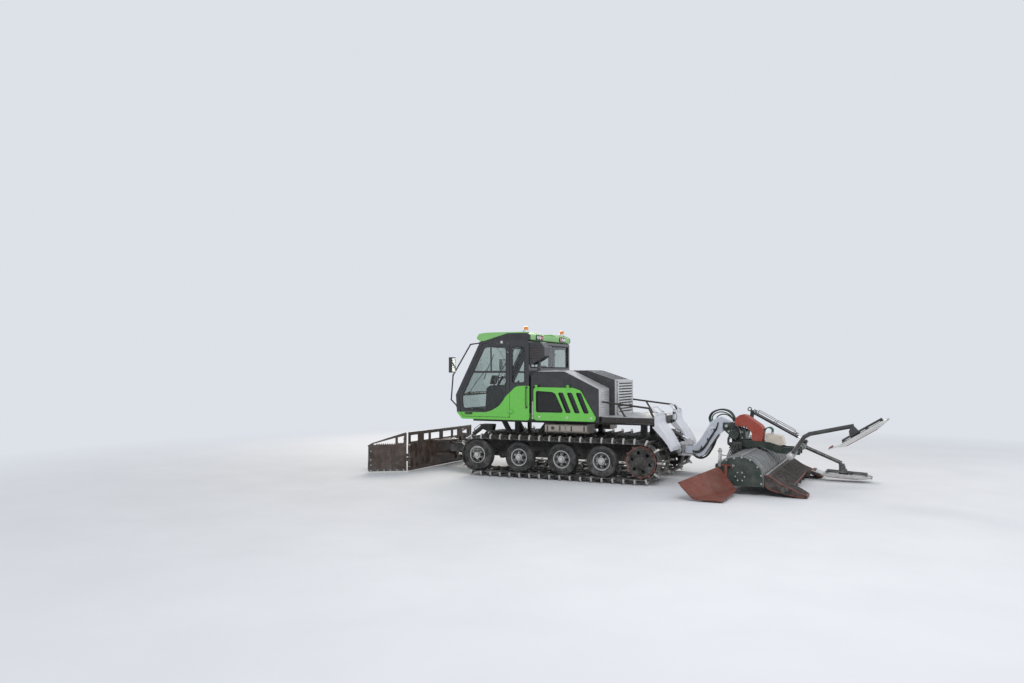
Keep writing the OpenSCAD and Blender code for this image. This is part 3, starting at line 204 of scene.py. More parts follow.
def roof_side(s):
    """Green cap; the dark panel of the rear pillars runs up over its sides behind a falling line."""
    line = s.span(s.x, 0.95 + OX, 1.45 + OX, 2.700, 2.560)
    side = s.math("GREATER_THAN", s.math("ABSOLUTE", s.y), 0.990)
    return s.mix(s.times(side, s.math("LESS_THAN", s.z, line)),
                 s.cloudy(3.0, (0.24, 0.56, 0.17), (0.28, 0.64, 0.19)), BLACK)


def deck_top(s):
    """Bare tread sheet on top of the deck, dark painted edges and underside."""
    top = s.times(s.span(s.z, 1.1545, 1.1560), s.span(s.z, 1.1580, 1.1600, 1.0, 0.0))
    return s.mix(top, (0.040, 0.034, 0.030), (0.52, 0.53, 0.56))


def glass():
    s = Shader("tinted_glass")
    s.put(s.bsdf, Base_Color=s.cloudy(1.5, (0.58, 0.64, 0.62), (0.64, 0.70, 0.67)), IOR=1.45,
          Roughness=s.span(s.noise(5.0, 5.0), 0.45, 0.80, 0.0, 0.03), Transmission_Weight=1.0)
    return s.mat


def lamp(name, colour, glow):
    s = Shader(name)
    cells = s.put(s.node("ShaderNodeTexVoronoi"), Scale=90.0, Vector=s.here).outputs["Distance"]
    s.put(s.bsdf, Base_Color=s.mix(s.span(cells, 0, 0.6), colour, tuple(c * 0.6 for c in colour)),
          Roughness=0.12, Coat_Weight=0.8, Emission_Color=(*colour, 1), Emission_Strength=glow)
    s.bump(cells, 0.5)
    return s.mat


M = {
    "black": finish("black_paint", BLACK, 0.32, coat=0.35),
    "chassis": finish("chassis_paint", (0.045, 0.043, 0.042), 0.5, grime=0.3, grime_top=1.0),
    "green": finish("green_paint", GREEN, 0.28, coat=0.6, tone=0.05),
    "cab": finish("cab_paint", GREEN, 0.28, coat=0.6, paint=swoosh, grime=0.1),
    "roof": finish("roof_paint", GREEN, 0.36, coat=0.25, paint=roof_side),
    "mirror": finish("mirror_glass", (0.66, 0.69, 0.72), 0.04, metal=1.0, tone=0.02, grime=0.02, relief=0.0),
    "silver": finish("silver_paint", (0.60, 0.60, 0.61), 0.36, metal=0.35, coat=0.3, tone=0.05),
    "white": finish("white_paint", (0.74, 0.75, 0.80), 0.34, coat=0.4, tone=0.04, grime=0.2),
    "neck": finish("neck_paint", (0.56, 0.60, 0.68), 0.34, coat=0.4, tone=0.06, grime=0.3, grime_top=1.3),
    "head": finish("head_paint", (0.010, 0.024, 0.016), 0.42, coat=0.2, grime=0.10, grime_top=1.4),
    "casing": finish("casing_paint", (0.14, 0.15, 0.16), 0.6, grime=0.45, grime_top=1.2),
    "red": finish("red_cover", (0.38, 0.055, 0.03), 0.42, grime=0.15, grime_top=1.6),
    "brown": finish("wear_plastic", (0.15, 0.034, 0.018), 0.55, grime=0.06, tone=0.2),
    "blade": finish("blade_plate", (0.060, 0.036, 0.027), 0.5, grime=0.14, tone=0.3),
    "mat": finish("finisher_mat", (0.036, 0.024, 0.022), 0.72, grime=0.12, grain=120, relief=0.4),
    "beige": finish("pale_cover", (0.70, 0.62, 0.52), 0.4, grime=0.3, grime_top=1.4),
    "alloy": finish("rolled_alloy", (0.62, 0.62, 0.60), 0.34, metal=0.85, grain=90, relief=0.2,
                    stretch=(1, 6, 1)),
    "tank": finish("tank_sheet", (0.52, 0.47, 0.41), 0.48, metal=0.5, grime=0.5, stretch=(0.4, 1, 2)),
    "chrome": finish("polished_rod", (0.80, 0.80, 0.82), 0.12, metal=1.0, tone=0.03, grime=0.05, relief=0.02),
    "steel": finish("worn_steel", (0.50, 0.49, 0.47), 0.38, metal=0.9, tone=0.2, grime=0.3, grain=60,
                    relief=0.4),
    "tyre": finish("tyre_rubber", (0.020, 0.020, 0.021), 0.7, grime_top=0.9, grain=70, relief=0.4),
    "track": finish("track_belt", DUST, 0.60, paint=track_wear_and_highlight, grime=0.3, grime_top=1.0, grain=60,
                    relief=0.5),
    "oxide": finish("oxide_casting", DUST, 0.6, paint=sprocket_wear, grime=0.2, grime_top=1.0, grain=110,
                    relief=0.5),
    "rim": finish("wheel_disc", DUST, 0.34, metal=0.6, paint=wheel_rim, grime=0.3, grime_top=0.9),
    "deck": finish("deck_sheet", DUST, 0.42, metal=0.3, paint=deck_top, grime=0.1),
    "louvre": finish("louvre_blades", (0.10, 0.075, 0.060), 0.4, coat=0.2, grime=0.05),
    "trim": finish("moulded_trim", (0.030, 0.030, 0.032), 0.62, grain=420, relief=0.35, grime=0.05),
    "seat": finish("seat_fabric", (0.045, 0.045, 0.05), 0.85, grain=700, relief=0.6, grime=0.02),
    "hose": finish("hose_rubber", (0.018, 0.020, 0.018), 0.5, grain=500, relief=0.25, grime=0.1),
    "hose_green": finish("hose_sleeve", (0.03, 0.10, 0.06), 0.5, grain=500, relief=0.25, grime=0.1),
    "block": finish("cast_block", (0.10, 0.10, 0.11), 0.6, grain=90, relief=0.5),
    "mesh": finish("dark_mesh", (0.012, 0.012, 0.013), 0.6, grime=0.05),
    "glass": glass(),
    "amber": lamp("amber_lens", (0.95, 0.28, 0.02), 0.25),
    "clear": lamp("clear_lens", (0.85, 0.86, 0.88), 0.15),
    "stop": lamp("red_lens", (0.75, 0.04, 0.02), 0.1),
    "screen": lamp("dark_screen", (0.02, 0.03, 0.035), 0.0),
}
# Slot of an added piece, by its look; the others have none
SLOTS = {"black": "black_paint", "white": "white_paint", "silver": "silver_paint", "alloy": "aluminium",
         "tyre": "tyre", "track": "track", "oxide": "sprocket", "amber": "amber", "mirror": "chrome",
         "louvre": "interior", "seat": "interior", "hose": "hose", "hose_green": "hose",
         "head": "frame_green", "casing": "frame_green", "mat": "mat_rubber", "brown": "brown_plastic",
         "red": "red_paint", "blade": "chassis_paint"}
# The CAD nodes that wear each look
WORN = {
    "chassis": "chassis_frame lift_bracket push_frame", "tyre": "tyres", "rim": "rims", "oxide": "sprockets",
    "track": "track_left track_right", "tank": "side_tanks", "block": "engine_block", "deck": "rear_deck",
    "black": "engine_body centre_hood intake_pod mirrors blade_barrel lift_barrel setter_arm_left "
             "setter_arm_right setter_barrel",
    "silver": "engine_cover lift_fork", "white": "rear_guards", "cab": "cab_frame door_left door_right",
    "roof": "cab_roof", "glass": "cab_glass door_glass_left door_glass_right", "trim": "cab_interior",
    "amber": "roof_lights", "green": "side_panel_left side_panel_right",
    "chrome": "blade_rod lift_rod setter_rod", "blade": "blade_middle blade_wing_left blade_wing_right",
    "neck": "swan_neck", "head": "tiller_frame", "casing": "tiller_casing", "steel": "rotor",
    "brown": "side_finisher_left side_finisher_right", "mat": "rear_finisher", "red": "guard_hood",
    "beige": "pump_box", "hose": "hoses",
    "alloy": "cooler side_canister setter_plate_left setter_plate_right",
}
for look, nodes in WORN.items():
    for node in nodes.split():
        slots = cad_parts[node].data.materials
        slots.clear()
        slots.append(M[look])

# Camera, floor and light
scene = bpy.context.scene
scene.view_settings.view_transform = "Standard"
TURN, LIFT = math.radians(25.7), 0.04
SKY, SKY_LIGHT, SKY_SEEN = (0.86, 0.90, 0.97), 0.50, 0.84


def add(name, data, place=(0, 0, 0), ahead=None):
    """Adds an object, which looks along a direction if one is given."""
    obj = bpy.data.objects.new(name, data)
    scene.collection.objects.link(obj)
    obj.location = place
    if ahead:
        obj.rotation_mode = "QUATERNION"
        obj.rotation_quaternion = ahead.to_track_quat("-Z", "Y")
    return obj


scene.camera = add("camera", bpy.data.cameras.new("camera"), at(-5.718, 14.679, 1.933), Vector((
    math.sin(TURN) * math.cos(LIFT), -math.cos(TURN) * math.cos(LIFT), math.sin(LIFT))))
scene.camera.data.lens = 28.125
scene.camera.data.sensor_width = 36.0
scene.camera.data.clip_end = 200


def seen(tree):
    """1 for the rays that show the backdrop: those of the camera, of gloss and of glass."""
    path = tree.nodes.new("ShaderNodeLightPath")
    total = path.outputs["Is Camera Ray"]
    for name in ("Is Glossy Ray", "Is Transmission Ray"):
        made = tree.nodes.new("ShaderNodeMath")
        made.operation = "MAXIMUM"
        tree.links.new(total, made.inputs[0])
        tree.links.new(path.outputs[name], made.inputs[1])
        total = made.outputs[0]
    return total


def floor(far=90.0):
    """Pale floor, which fades into the backdrop far from the machine."""
    mesh = bpy.data.meshes.new("floor")
    mesh.from_pydata([(-far, -far, 0), (far, -far, 0), (far, far, 0), (-far, far, 0)], [], [(0, 1, 2, 3)])
    s = Shader("pale_floor")
    s.put(s.bsdf, Base_Color=s.cloudy(0.8, (0.78, 0.79, 0.81), (0.84, 0.85, 0.87), 5.0), Roughness=0.9)
    s.bump(s.noise(18.0, 6.0), 0.15, 0.01)
    glow = s.put(s.node("ShaderNodeEmission"), Color=(*(c * SKY_SEEN for c in SKY), 1))
    fade = s.node("ShaderNodeMixShader")
    s.feed(fade.inputs[0], s.times(s.span(s.reach(s.x, s.y), 6.0, 15.0), seen(s.tree)))
    s.feed(fade.inputs[1], s.bsdf.outputs[0])
    s.feed(fade.inputs[2], glow.outputs[0])
    s.put(s.tree.nodes["Material Output"], Surface=fade.outputs[0])
    mesh.materials.append(s.mat)
    add("floor", mesh)


floor()
scene.world = bpy.data.worlds.new("studio")
scene.world.use_nodes = True
world = scene.world.node_tree
sky, level = world.nodes["Background"], world.nodes.new("ShaderNodeMapRange")
sky.inputs["Color"].default_value = (*SKY, 1)
level.inputs["To Min"].default_value = SKY_LIGHT
level.inputs["To Max"].default_value = SKY_SEEN
world.links.new(seen(world), level.inputs["Value"])
world.links.new(level.outputs[0], sky.inputs["Strength"])
for name, place, target, size, power, colour in (
        ("key", (-6, 11, 9), (1, 0, 1), (6, 5), 720, (1, 1, 1)),
        ("back", (8, -9, 8), (1, 0, 1), (8, 5), 900, (1.0, 0.92, 0.80)),
        ("rear", (-12, -3, 6), (-2, 0, 1), (6, 5), 260, (1, 1, 1))):
    light = bpy.data.lights.new(name, "AREA")
    light.shape = "RECTANGLE"
    light.size, light.size_y = size
    light.energy, light.color = power, colour
    add(name, light, place, Vector(target) - Vector(place))


# Small parts
def curve(points, smooth, closed=False):
    """Smooth path through the points, with so many steps between each two."""
    pts, path = [Vector(p) for p in points], []
    n = len(pts)
    for i in range(n if closed else n - 1):
        p0, p1, p2, p3 = (pts[(i + k) % n] if closed else pts[min(max(i + k, 0), n - 1)]
                          for k in (-1, 0, 1, 2))
        for k in range(smooth):
            t = k / smooth
            path.append(0.5 * (2 * p1 + (p2 - p0) * t + (2 * p0 - 5 * p1 + 4 * p2 - p3) * t * t
                               + (3 * p1 - p0 - 3 * p2 + p3) * t ** 3))
    return path if closed else path + [pts[-1]]


class Part:
    """Mesh that is gathered shape by shape, in the drawing's metres or in those of the frame that move gives.

    A part of the right side (side -1) is given as the left one and drawn mirrored. It rides on one body;
    where body is a tuple, it rides on none and stays where it is drawn.
    """

    def __init__(self, name, look, body="chassis", slot=None, side=1, move=None):
        self.name, self.look, self.body, self.side = name, look, body, side
        self.slot = slot or SLOTS.get(look)
        self.frame = Matrix.Translation((OX, 0, 0)) @ Matrix.Diagonal((1, side, 1, 1)) @ (move or Matrix())
        self.bm, self.tubes = bmesh.new(), []

    def _bevel(self, verts, width):
        if width:
            edges = {e for v in verts for e in v.link_edges if e.calc_face_angle(0) > 0.5}
            bmesh.ops.bevel(self.bm, geom=list(edges), offset=width, segments=2, profile=0.6, affect="EDGES",
                            clamp_overlap=True)

    def _bridge(self, a, b, bevel=0):
        """Solid between two like rings of points."""
        a, b = ([self.bm.verts.new(self.frame @ p) for p in ring] for ring in (a, b))
        self.bm.faces.new(a)
        self.bm.faces.new(b[::-1])
        for i in range(len(a)):
            self.bm.faces.new((a[i], a[i - 1], b[i - 1], b[i]))
        self._bevel(a + b, bevel)

    def block(self, middle, size, bevel=0.003, turn=Matrix()):
        x, y, z = size
        move = self.frame @ Matrix.Translation(middle) @ turn @ Matrix.Diagonal((x, y * self.side, z, 1))
        self._bevel(bmesh.ops.create_cube(self.bm, size=1, matrix=move)["verts"], bevel)

    def hull(self, low, high, bevel=0.003, turn=Matrix()):
        """Box between two corners, turned about its middle."""
        low, high = Vector(low), Vector(high)
        self.block((low + high) / 2, high - low, bevel, turn)

    def slat(self, a, b, wide, thick, spare, lift=0.0):
        """Flat bar from a to b, which lie in one x, z plane."""
        a, b = Vector(a), Vector(b)
        span = b - a
        self.block((a + b) / 2 + Vector((0, 0, lift)), (span.length + 2 * spare, wide, thick), 0.003,
                   tilted(-math.atan2(span.z, span.x)))

    def prism(self, outline, normal, start, end, bevel=0.003, move=Matrix()):
        """Outline of (a, b) pairs, stretched along the axis x or y from start to end."""
        order = {"x": (2, 0, 1), "y": (0, 2, 1)}[normal]
        self._bridge(*([move @ Vector([(a, b, depth)[i] for i in order]) for a, b in outline]
                       for depth in (start, end)), bevel)

    def teeth(self, foot, step, count, across, up, thick):
        """Row of triangular teeth."""
        foot, step, across, up, thick = map(Vector, (foot, step, across, up, thick))
        for k in range(count):
            self._bridge(*([foot + step * k + across * a + up * b + thick * t
                            for a, b in ((-0.5, -0.05), (0.5, -0.05), (0, 1))] for t in (-0.5, 0.5)))

    def turned(self, profile, origin, axis=OUT, steps=28):
        """Profile of (distance along the axis, radius) pairs, turned about the axis."""
        turn = (self.frame.to_3x3() @ Vector(axis)).to_track_quat("Z", "X").to_matrix().to_4x4()
        move = Matrix.Translation(self.frame @ Vector(origin)) @ turn
        rings = []
        for along, radius in profile:
            angles = [k * math.tau / steps for k in range(steps if radius > 1e-6 else 1)]
            spots = [Vector((radius * math.cos(a), radius * math.sin(a), along)) for a in angles]
            rings.append([self.bm.verts.new(move @ spot) for spot in spots])
        for a, b in zip(rings, rings[1:]):
            for k in range(steps):
                m = (k + 1) % steps
                face = [a[k % len(a)], a[m % len(a)], b[m % len(b)], b[k % len(b)]]
                self.bm.faces.new(list(dict.fromkeys(face)))

    def rod(self, p, q, radius, steps=16, cap=0.15):
        p, q = Vector(p), Vector(q)
        length, c = (q - p).length, radius * cap
        self.turned([(0, 0), (0, radius - c), (c, radius), (length - c, radius), (length, radius - c),
                     (length, 0)], p, q - p, steps)

    def tube(self, points, radius, steps=8, smooth=4, closed=False):
        """Tube along a smooth curve through the points, which done() draws."""
        self.tubes.append((points, radius, steps, smooth, closed))

    def _draw_tube(self, points, radius, steps, smooth, closed):
        path = curve([self.frame @ Vector(p) for p in points], smooth, closed)
        rings, side, count = [], None, len(path)
        for i, p in enumerate(path):
            ahead = path[(i + 1) % count] if closed or i < count - 1 else p
            behind = path[i - 1] if closed or i > 0 else p
            along = (ahead - behind).normalized()
            side = side or along.orthogonal()
            side = (side - along * side.dot(along)).normalized()
            other = along.cross(side)
            rings.append([self.bm.verts.new(p + (side * math.cos(a) + other * math.sin(a)) * radius)
                          for a in (k * math.tau / steps for k in range(steps))])
        for a, b in zip(rings, rings[1:] + rings[:closed]):
            for k in range(steps):
                self.bm.faces.new((a[k - 1], a[k], b[k], b[k - 1]))
        if not closed:
            self.bm.faces.new(rings[0][::-1])
            self.bm.faces.new(rings[-1])

    def bolts(self, places, out=OUT, radius=0.011, height=0.009):
        """Hexagon heads on washers."""
        for place in places:
            self.turned([(-0.002, 0), (-0.002, radius * 1.5), (height / 4, radius * 1.5),
                         (height / 4, radius * 1.1)], place, out, 12)
            self.turned([(0, radius), (height * 0.85, radius), (height, radius * 0.8), (height, 0)],
                        place, out, 6)

    def bolt_ring(self, x, y, z, reach, count, radius, height, start=0.0):
        angles = [(k + start) * math.tau / count for k in range(count)]
        self.bolts([(x + reach * math.cos(a), y, z + reach * math.sin(a)) for a in angles],
                   OUT, radius, height)

    def mirror(self):
        """Adds the mirror image of what is gathered so far."""
        over = self.frame @ Matrix.Diagonal((1, -1, 1, 1)) @ self.frame.inverted()
        drawn = self.bm.verts[:] + self.bm.edges[:] + self.bm.faces[:]
        copy = bmesh.ops.duplicate(self.bm, geom=drawn)["geom"]
        for v in copy:
            if isinstance(v, bmesh.types.BMVert):
                v.co = over @ v.co
        bmesh.ops.reverse_faces(self.bm, faces=[f for f in copy if isinstance(f, bmesh.types.BMFace)])
        self.tubes += [([(x, -y, z) for x, y, z in points], *how) for points, *how in self.tubes]

    def done(self, flip=False):
        if flip:
            self.mirror()
        for tube in self.tubes:
            self._draw_tube(*tube)
        bmesh.ops.recalc_face_normals(self.bm, faces=self.bm.faces[:])
        for edge in self.bm.edges:
            edge.smooth = edge.calc_face_angle(0) < 0.6
        for face in self.bm.faces:
            face.smooth = True
        mesh = bpy.data.meshes.new(self.name)
        self.bm.to_mesh(mesh)
        self.bm.free()
        mesh.materials.append(M[self.look])
        obj = add(self.name, mesh)
        if isinstance(self.body, str):
            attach(obj, self.body)
        else:
            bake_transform(obj)
        return obj


def close(*parts, flip=False):
    """Ends the parts, each with its mirror image if flip is set."""
    for part in parts:
        part.done(flip)


def on_y(y, *pairs):
    """The (x, z) pairs as points at y."""
    return [(x, y, z) for x, z in pairs]


def soften(outline, radius, steps=4):
    """Rounds every corner of an outline of (a, b) pairs."""
    made, n = [], len(outline)
    for i in range(n):
        a, b, c = (Vector(outline[(i + k) % n]) for k in (-1, 0, 1))
        reach = min(radius, (a - b).length * 0.45, (c - b).length * 0.45)
        p, q = b + (a - b).normalized() * reach, b + (c - b).normalized() * reach
        for t in (k / steps for k in range(steps + 1)):
            made.append(tuple(p * (1 - t) ** 2 + b * 2 * t * (1 - t) + q * t * t))
    return made


# Tracks and wheels
BELT_R, BAR_H, TRACK_IN, TRACK_OUT, BARS = 0.318, 0.082, 0.43, 1.25, 42
STRAIGHT, HALF_LOOP = IDLER - SPROCKET, IDLER - SPROCKET + math.pi * BELT_R


def on_loop(s):
    """Frame on the belt's outside at distance s along it: x runs with the belt and z points outwards."""
    turn = -1 if s >= HALF_LOOP else 1
    s %= HALF_LOOP
    a = math.pi / 2 - max(0, s - STRAIGHT) / BELT_R
    out = Vector((turn * math.cos(a), 0, turn * math.sin(a)))
    middle = Vector(((IDLER + SPROCKET) / 2 + turn * (min(s, STRAIGHT) - STRAIGHT / 2), 0, AXLE_Z))
    return Matrix.Translation(middle + out * BELT_R), Matrix((
        (out.z, 0, -out.x), (0, 1, 0), out)).transposed().to_4x4()


for side, tag in SIDES:
    tips = Part("track_tips_" + tag, "steel", side=side)
    lugs = Part("belt_lugs_" + tag, "track", side=side)
    for i in range(BARS):
        place, turn = on_loop((i + 0.5) * 2 * HALF_LOOP / BARS)
        move = place @ turn
        for edge, inner, outer, tip in ((TRACK_OUT, -0.098, 0.001, -0.045), (TRACK_IN, -0.001, 0.098, 0.045)):
            tips.prism([(edge + inner, 0.04), (edge + tip - 0.006, BAR_H), (edge + tip + 0.006, BAR_H),
                        (edge + outer, 0.044)], "x", -0.0165, 0.0165, 0, move)
        for edge, way in ((TRACK_IN, 1), (TRACK_OUT, -1)):
            tips.block(move @ Vector((0, edge + way * 0.004, 0.022)), (0.034, 0.011, 0.072), 0.003, turn)
            tips.bolts([move @ Vector((step, edge + way * 0.135, 0)) for step in (-0.036, 0.036)],
                       turn @ Vector(TOP), 0.011, 0.01)
            lugs.block(move @ Vector((0, edge + way * 0.06, -0.02)), (0.048, 0.032, 0.024), 0.004, turn)
    close(tips, lugs)

hubs, nuts, beads = Part("wheel_hubs", "alloy"), Part("wheel_nuts", "steel"), Part("tyre_beads", "tyre")
for x, z, radius in WHEELS:
    face = (x, WHEEL_Y, z)
    hubs.turned([(0, 0.048), (0.112, 0.048), (0.124, 0.042), (0.128, 0.02), (0.132, 0)], face, OUT, 32)
    hubs.turned([(0.06, 0.066), (0.078, 0.062), (0.082, 0.05)], face, OUT, 32)
    nuts.bolt_ring(x, WHEEL_Y + 0.078, z, 0.086, 6, 0.01, 0.012, 0.5)
    for ring, reach in ((0.166, 0.077), (0.178, 0.081), (radius - 0.055, 0.099), (radius - 0.075, 0.0985)):
        beads.turned([(reach - 0.004, ring - 0.006), (reach + 0.002, ring - 0.004), (reach + 0.0035, ring),
                      (reach + 0.002, ring + 0.004), (reach - 0.004, ring + 0.006)], face, OUT, 48)
drive = Part("sprocket_rings", "oxide")
face = (SPROCKET, WHEEL_Y, AXLE_Z)
drive.turned([(0.07, 0.2), (0.084, 0.206), (0.088, 0.222), (0.084, 0.24), (0.072, 0.246)], face, OUT, 56)
drive.turned([(0.112, 0.104), (0.12, 0.098), (0.122, 0.06), (0.128, 0.05), (0.13, 0)], face, OUT, 40)
drive.bolt_ring(SPROCKET, WHEEL_Y + 0.086, AXLE_Z, 0.223, 12, 0.011, 0.01)
drive.bolt_ring(SPROCKET, WHEEL_Y + 0.119, AXLE_Z, 0.08, 8, 0.009, 0.009)
close(hubs, nuts, beads, drive, flip=True)

# Cab
ROOF_Z, CAB_W, CAB_BACK = 2.56, 1.03, 0.5
FOOT = Vector((2.07, 1.52))
UP = (Vector((1.53, ROOF_Z)) - FOOT).normalized()


def on_screen(s, d, y):
    """Point on the windscreen: s up its slope, d in from its face."""
    p = FOOT + UP * s + Vector((-UP.y, UP.x)) * d
    return Vector((p.x, y, p.y))


DOOR_WINDOW = soften([(0.975, 2.445), (1.44, 2.445), (1.93, 1.485), (1.912, 1.255), (1.33, 1.215),
                      (1.12, 1.33), (0.975, 1.53)], 0.08)
DOOR_EDGE = soften([(0.912, 1.117), (1.891, 1.117), (1.955, 1.208), (1.979, 1.5), (1.469, 2.493),
                    (0.912, 2.493)], 0.03)
REAR_WINDOW = soften([(0.59, 1.76), (0.85, 1.76), (0.85, 2.44), (0.59, 2.44)], 0.04)
# Bars at the belt, upright and low in the door, and the handle's plate: outline, depth of both faces, bevel
DOOR_BARS = (
    ([(0.985, 1.945), (1.705, 1.945), (1.69, 1.985), (0.985, 1.985)], -0.022, -0.004, 0.003),
    ([(1.285, 1.985), (1.312, 1.985), (1.318, 2.43), (1.291, 2.43)], -0.02, -0.005, 0.003),
    ([(1.28, 1.555), (1.9, 1.5), (1.9, 1.512), (1.28, 1.568)], -0.02, -0.006, 0.002),
    (soften([(1.7, 1.185), (1.86, 1.185), (1.86, 1.15), (1.7, 1.15)], 0.012), -0.002, 0.004, 0.002))
for side, tag in SIDES:
    door = "door_" + tag + "_body"
    seal = Part("door_seal_" + tag, "trim", door, side=side)
    seal.tube(on_y(CAB_W - 0.004, *DOOR_WINDOW), 0.011, 8, 1, True)
    seal.tube(on_y(CAB_W - 0.038, *DOOR_EDGE), 0.009, 8, 1, True)
    trim = Part("door_fittings_" + tag, "black", door, side=side)
    for outline, start, end, bevel in DOOR_BARS:
        trim.prism(outline, "y", CAB_W + start, CAB_W + end, bevel)
    trim.tube([(x, CAB_W + y, 1.168) for x, y in ((1.715, 0.004), (1.725, 0.034), (1.8, 0.038),
                                                  (1.845, 0.034), (1.852, 0.004))], 0.009, 10)
    pins = Part("door_screws_" + tag, "steel", door, side=side)
    pins.bolts([(x, CAB_W + 0.018, z) for z in (1.228, 2.338) for x in (0.922, 0.942)], OUT, 0.006, 0.005)
    rear = Part("rear_pane_seal_" + tag, "trim", side=side)
    rear.tube(on_y(CAB_W - 0.002, *REAR_WINDOW), 0.011, 8, 1, True)
    close(seal, trim, pins, rear)

W = CAB_W - 0.09
seals = Part("screen_seals", "trim")
for loop in ([on_screen(s, 0.006, y) for s, y in ((0.045, -W), (0.045, W), (1.07, W), (1.07, -W))],
             [(2.05, -W, 1.241), (2.05, W, 1.241), (2.066, W, 1.519), (2.066, -W, 1.519)],
             [(CAB_BACK - 0.002, y, z) for y, z in ((-W, 2.05), (W, 2.05), (W, 2.48), (-W, 2.48))]):
    seals.tube(loop, 0.012, 8, 1, True)
wipers = Part("wipers", "black")
for y in (0.45, -0.45):
    foot, tip = on_screen(0.02, -0.03, y), on_screen(0.62, -0.02, y - 0.3)
    wipers.rod(foot, foot + Vector((0.02, 0, 0.01)), 0.022)
    wipers.tube([foot, on_screen(0.3, -0.04, y - 0.135), tip], 0.007, 8, 3)
    wipers.tube([on_screen(0.34, -0.012, y - 0.32), tip, on_screen(0.9, -0.012, y - 0.27)], 0.009, 8, 3)
close(seals, wipers)

# Beacons: pale foot, ribbed amber dome with a cap
foot = (CAB_BACK + 0.12, CAB_W - 0.13, ROOF_Z + 0.1603)
feet = Part("beacon_feet", "white")
feet.turned([(0, 0.06), (0.028, 0.058), (0.036, 0.052), (0.04, 0.046), (0.04, 0)], foot, TOP, 40)
feet.done(True)
domes = Part("beacon_domes", "amber")
ribs = [(z + k * 0.0072, r - 0.0012 * k) for k in range(7) for z, r in ((0.044, 0.05), (0.0475, 0.0478))]
domes.turned([(0.04, 0.047)] + ribs + [(0.1, 0.038), (0.107, 0.024), (0.11, 0)], foot, TOP, 40)
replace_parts(domes.done(True), "roof_lights")

# Lamp clusters in the roof's rear edge: dark pocket, two clear lamps and a red one
pocket, bezels = Part("lamp_pockets", "trim", slot="interior"), Part("lamp_bezels", "alloy")
clear, red = Part("lamp_lenses_clear", "clear"), Part("lamp_lenses_red", "stop")
pocket.prism(soften([(0.405, ROOF_Z + 0.012), (0.755, ROOF_Z + 0.012), (0.74, ROOF_Z + 0.11),
                     (0.42, ROOF_Z + 0.11)], 0.02), "x", CAB_BACK - 0.03, CAB_BACK - 0.0205, 0.002)
for y, lens in ((0.685, clear), (0.58, clear), (0.475, red)):
    spot = (CAB_BACK - 0.03, y, ROOF_Z + 0.06)
    bezels.turned([(0, 0.042), (0.006, 0.042), (0.009, 0.038), (0.004, 0.034), (0, 0.034)], spot, BACK, 32)
    lens.turned([(0, 0.034), (0.004, 0.033), (0.008, 0.022), (0.0095, 0)], spot, BACK, 32)
# Work lamps under the roof's front edge, round lamps over the doors, mirror glasses and grab rails
front, glow = Part("work_lamp_housings", "black"), Part("work_lamp_lenses", "clear")
for y in (0.48, 0.78):
    spot, axis = (1.56, y, ROOF_Z + 0.062), (1, 0, -0.12)
    front.turned([(-0.02, 0), (-0.02, 0.048), (0.045, 0.056), (0.058, 0.056), (0.062, 0.05), (0.052, 0.046)],
                 spot, axis)
    glow.turned([(0.05, 0.047), (0.057, 0.04), (0.06, 0)], spot, axis)
cup, orb, spot = Part("door_lamp_rims", "alloy"), Part("door_lamps", "clear"), (1.07, CAB_W, 2.53)
cup.turned([(0, 0.029), (0.01, 0.029), (0.014, 0.025), (0.008, 0.022), (0, 0.022)], spot)
orb.turned([(0, 0.022), (0.01, 0.022), (0.018, 0.014), (0.02, 0)], spot)
mirror = Part("mirror_glasses", "mirror")
mirror.prism(soften([(1.036, 1.967), (1.154, 1.967), (1.154, 2.233), (1.036, 2.233)], 0.015),
             "x", 2.0792, 2.0815, 0.001)
rail = Part("cab_grab_rails", "black")
rail.tube([(0.548, CAB_W + y, z) for y, z in ((0, 1.3), (0.032, 1.31), (0.032, 1.335), (0.032, 1.64),
                                              (0.032, 1.665), (0, 1.675))], 0.01, 10, 3)
for z in (1.3, 1.675):
    rail.turned([(0, 0.022), (0.005, 0.022), (0.008, 0.016)], (0.548, CAB_W, z), OUT, 20)
close(pocket, bezels, clear, red, front, glow, cup, orb, mirror, rail, flip=True)

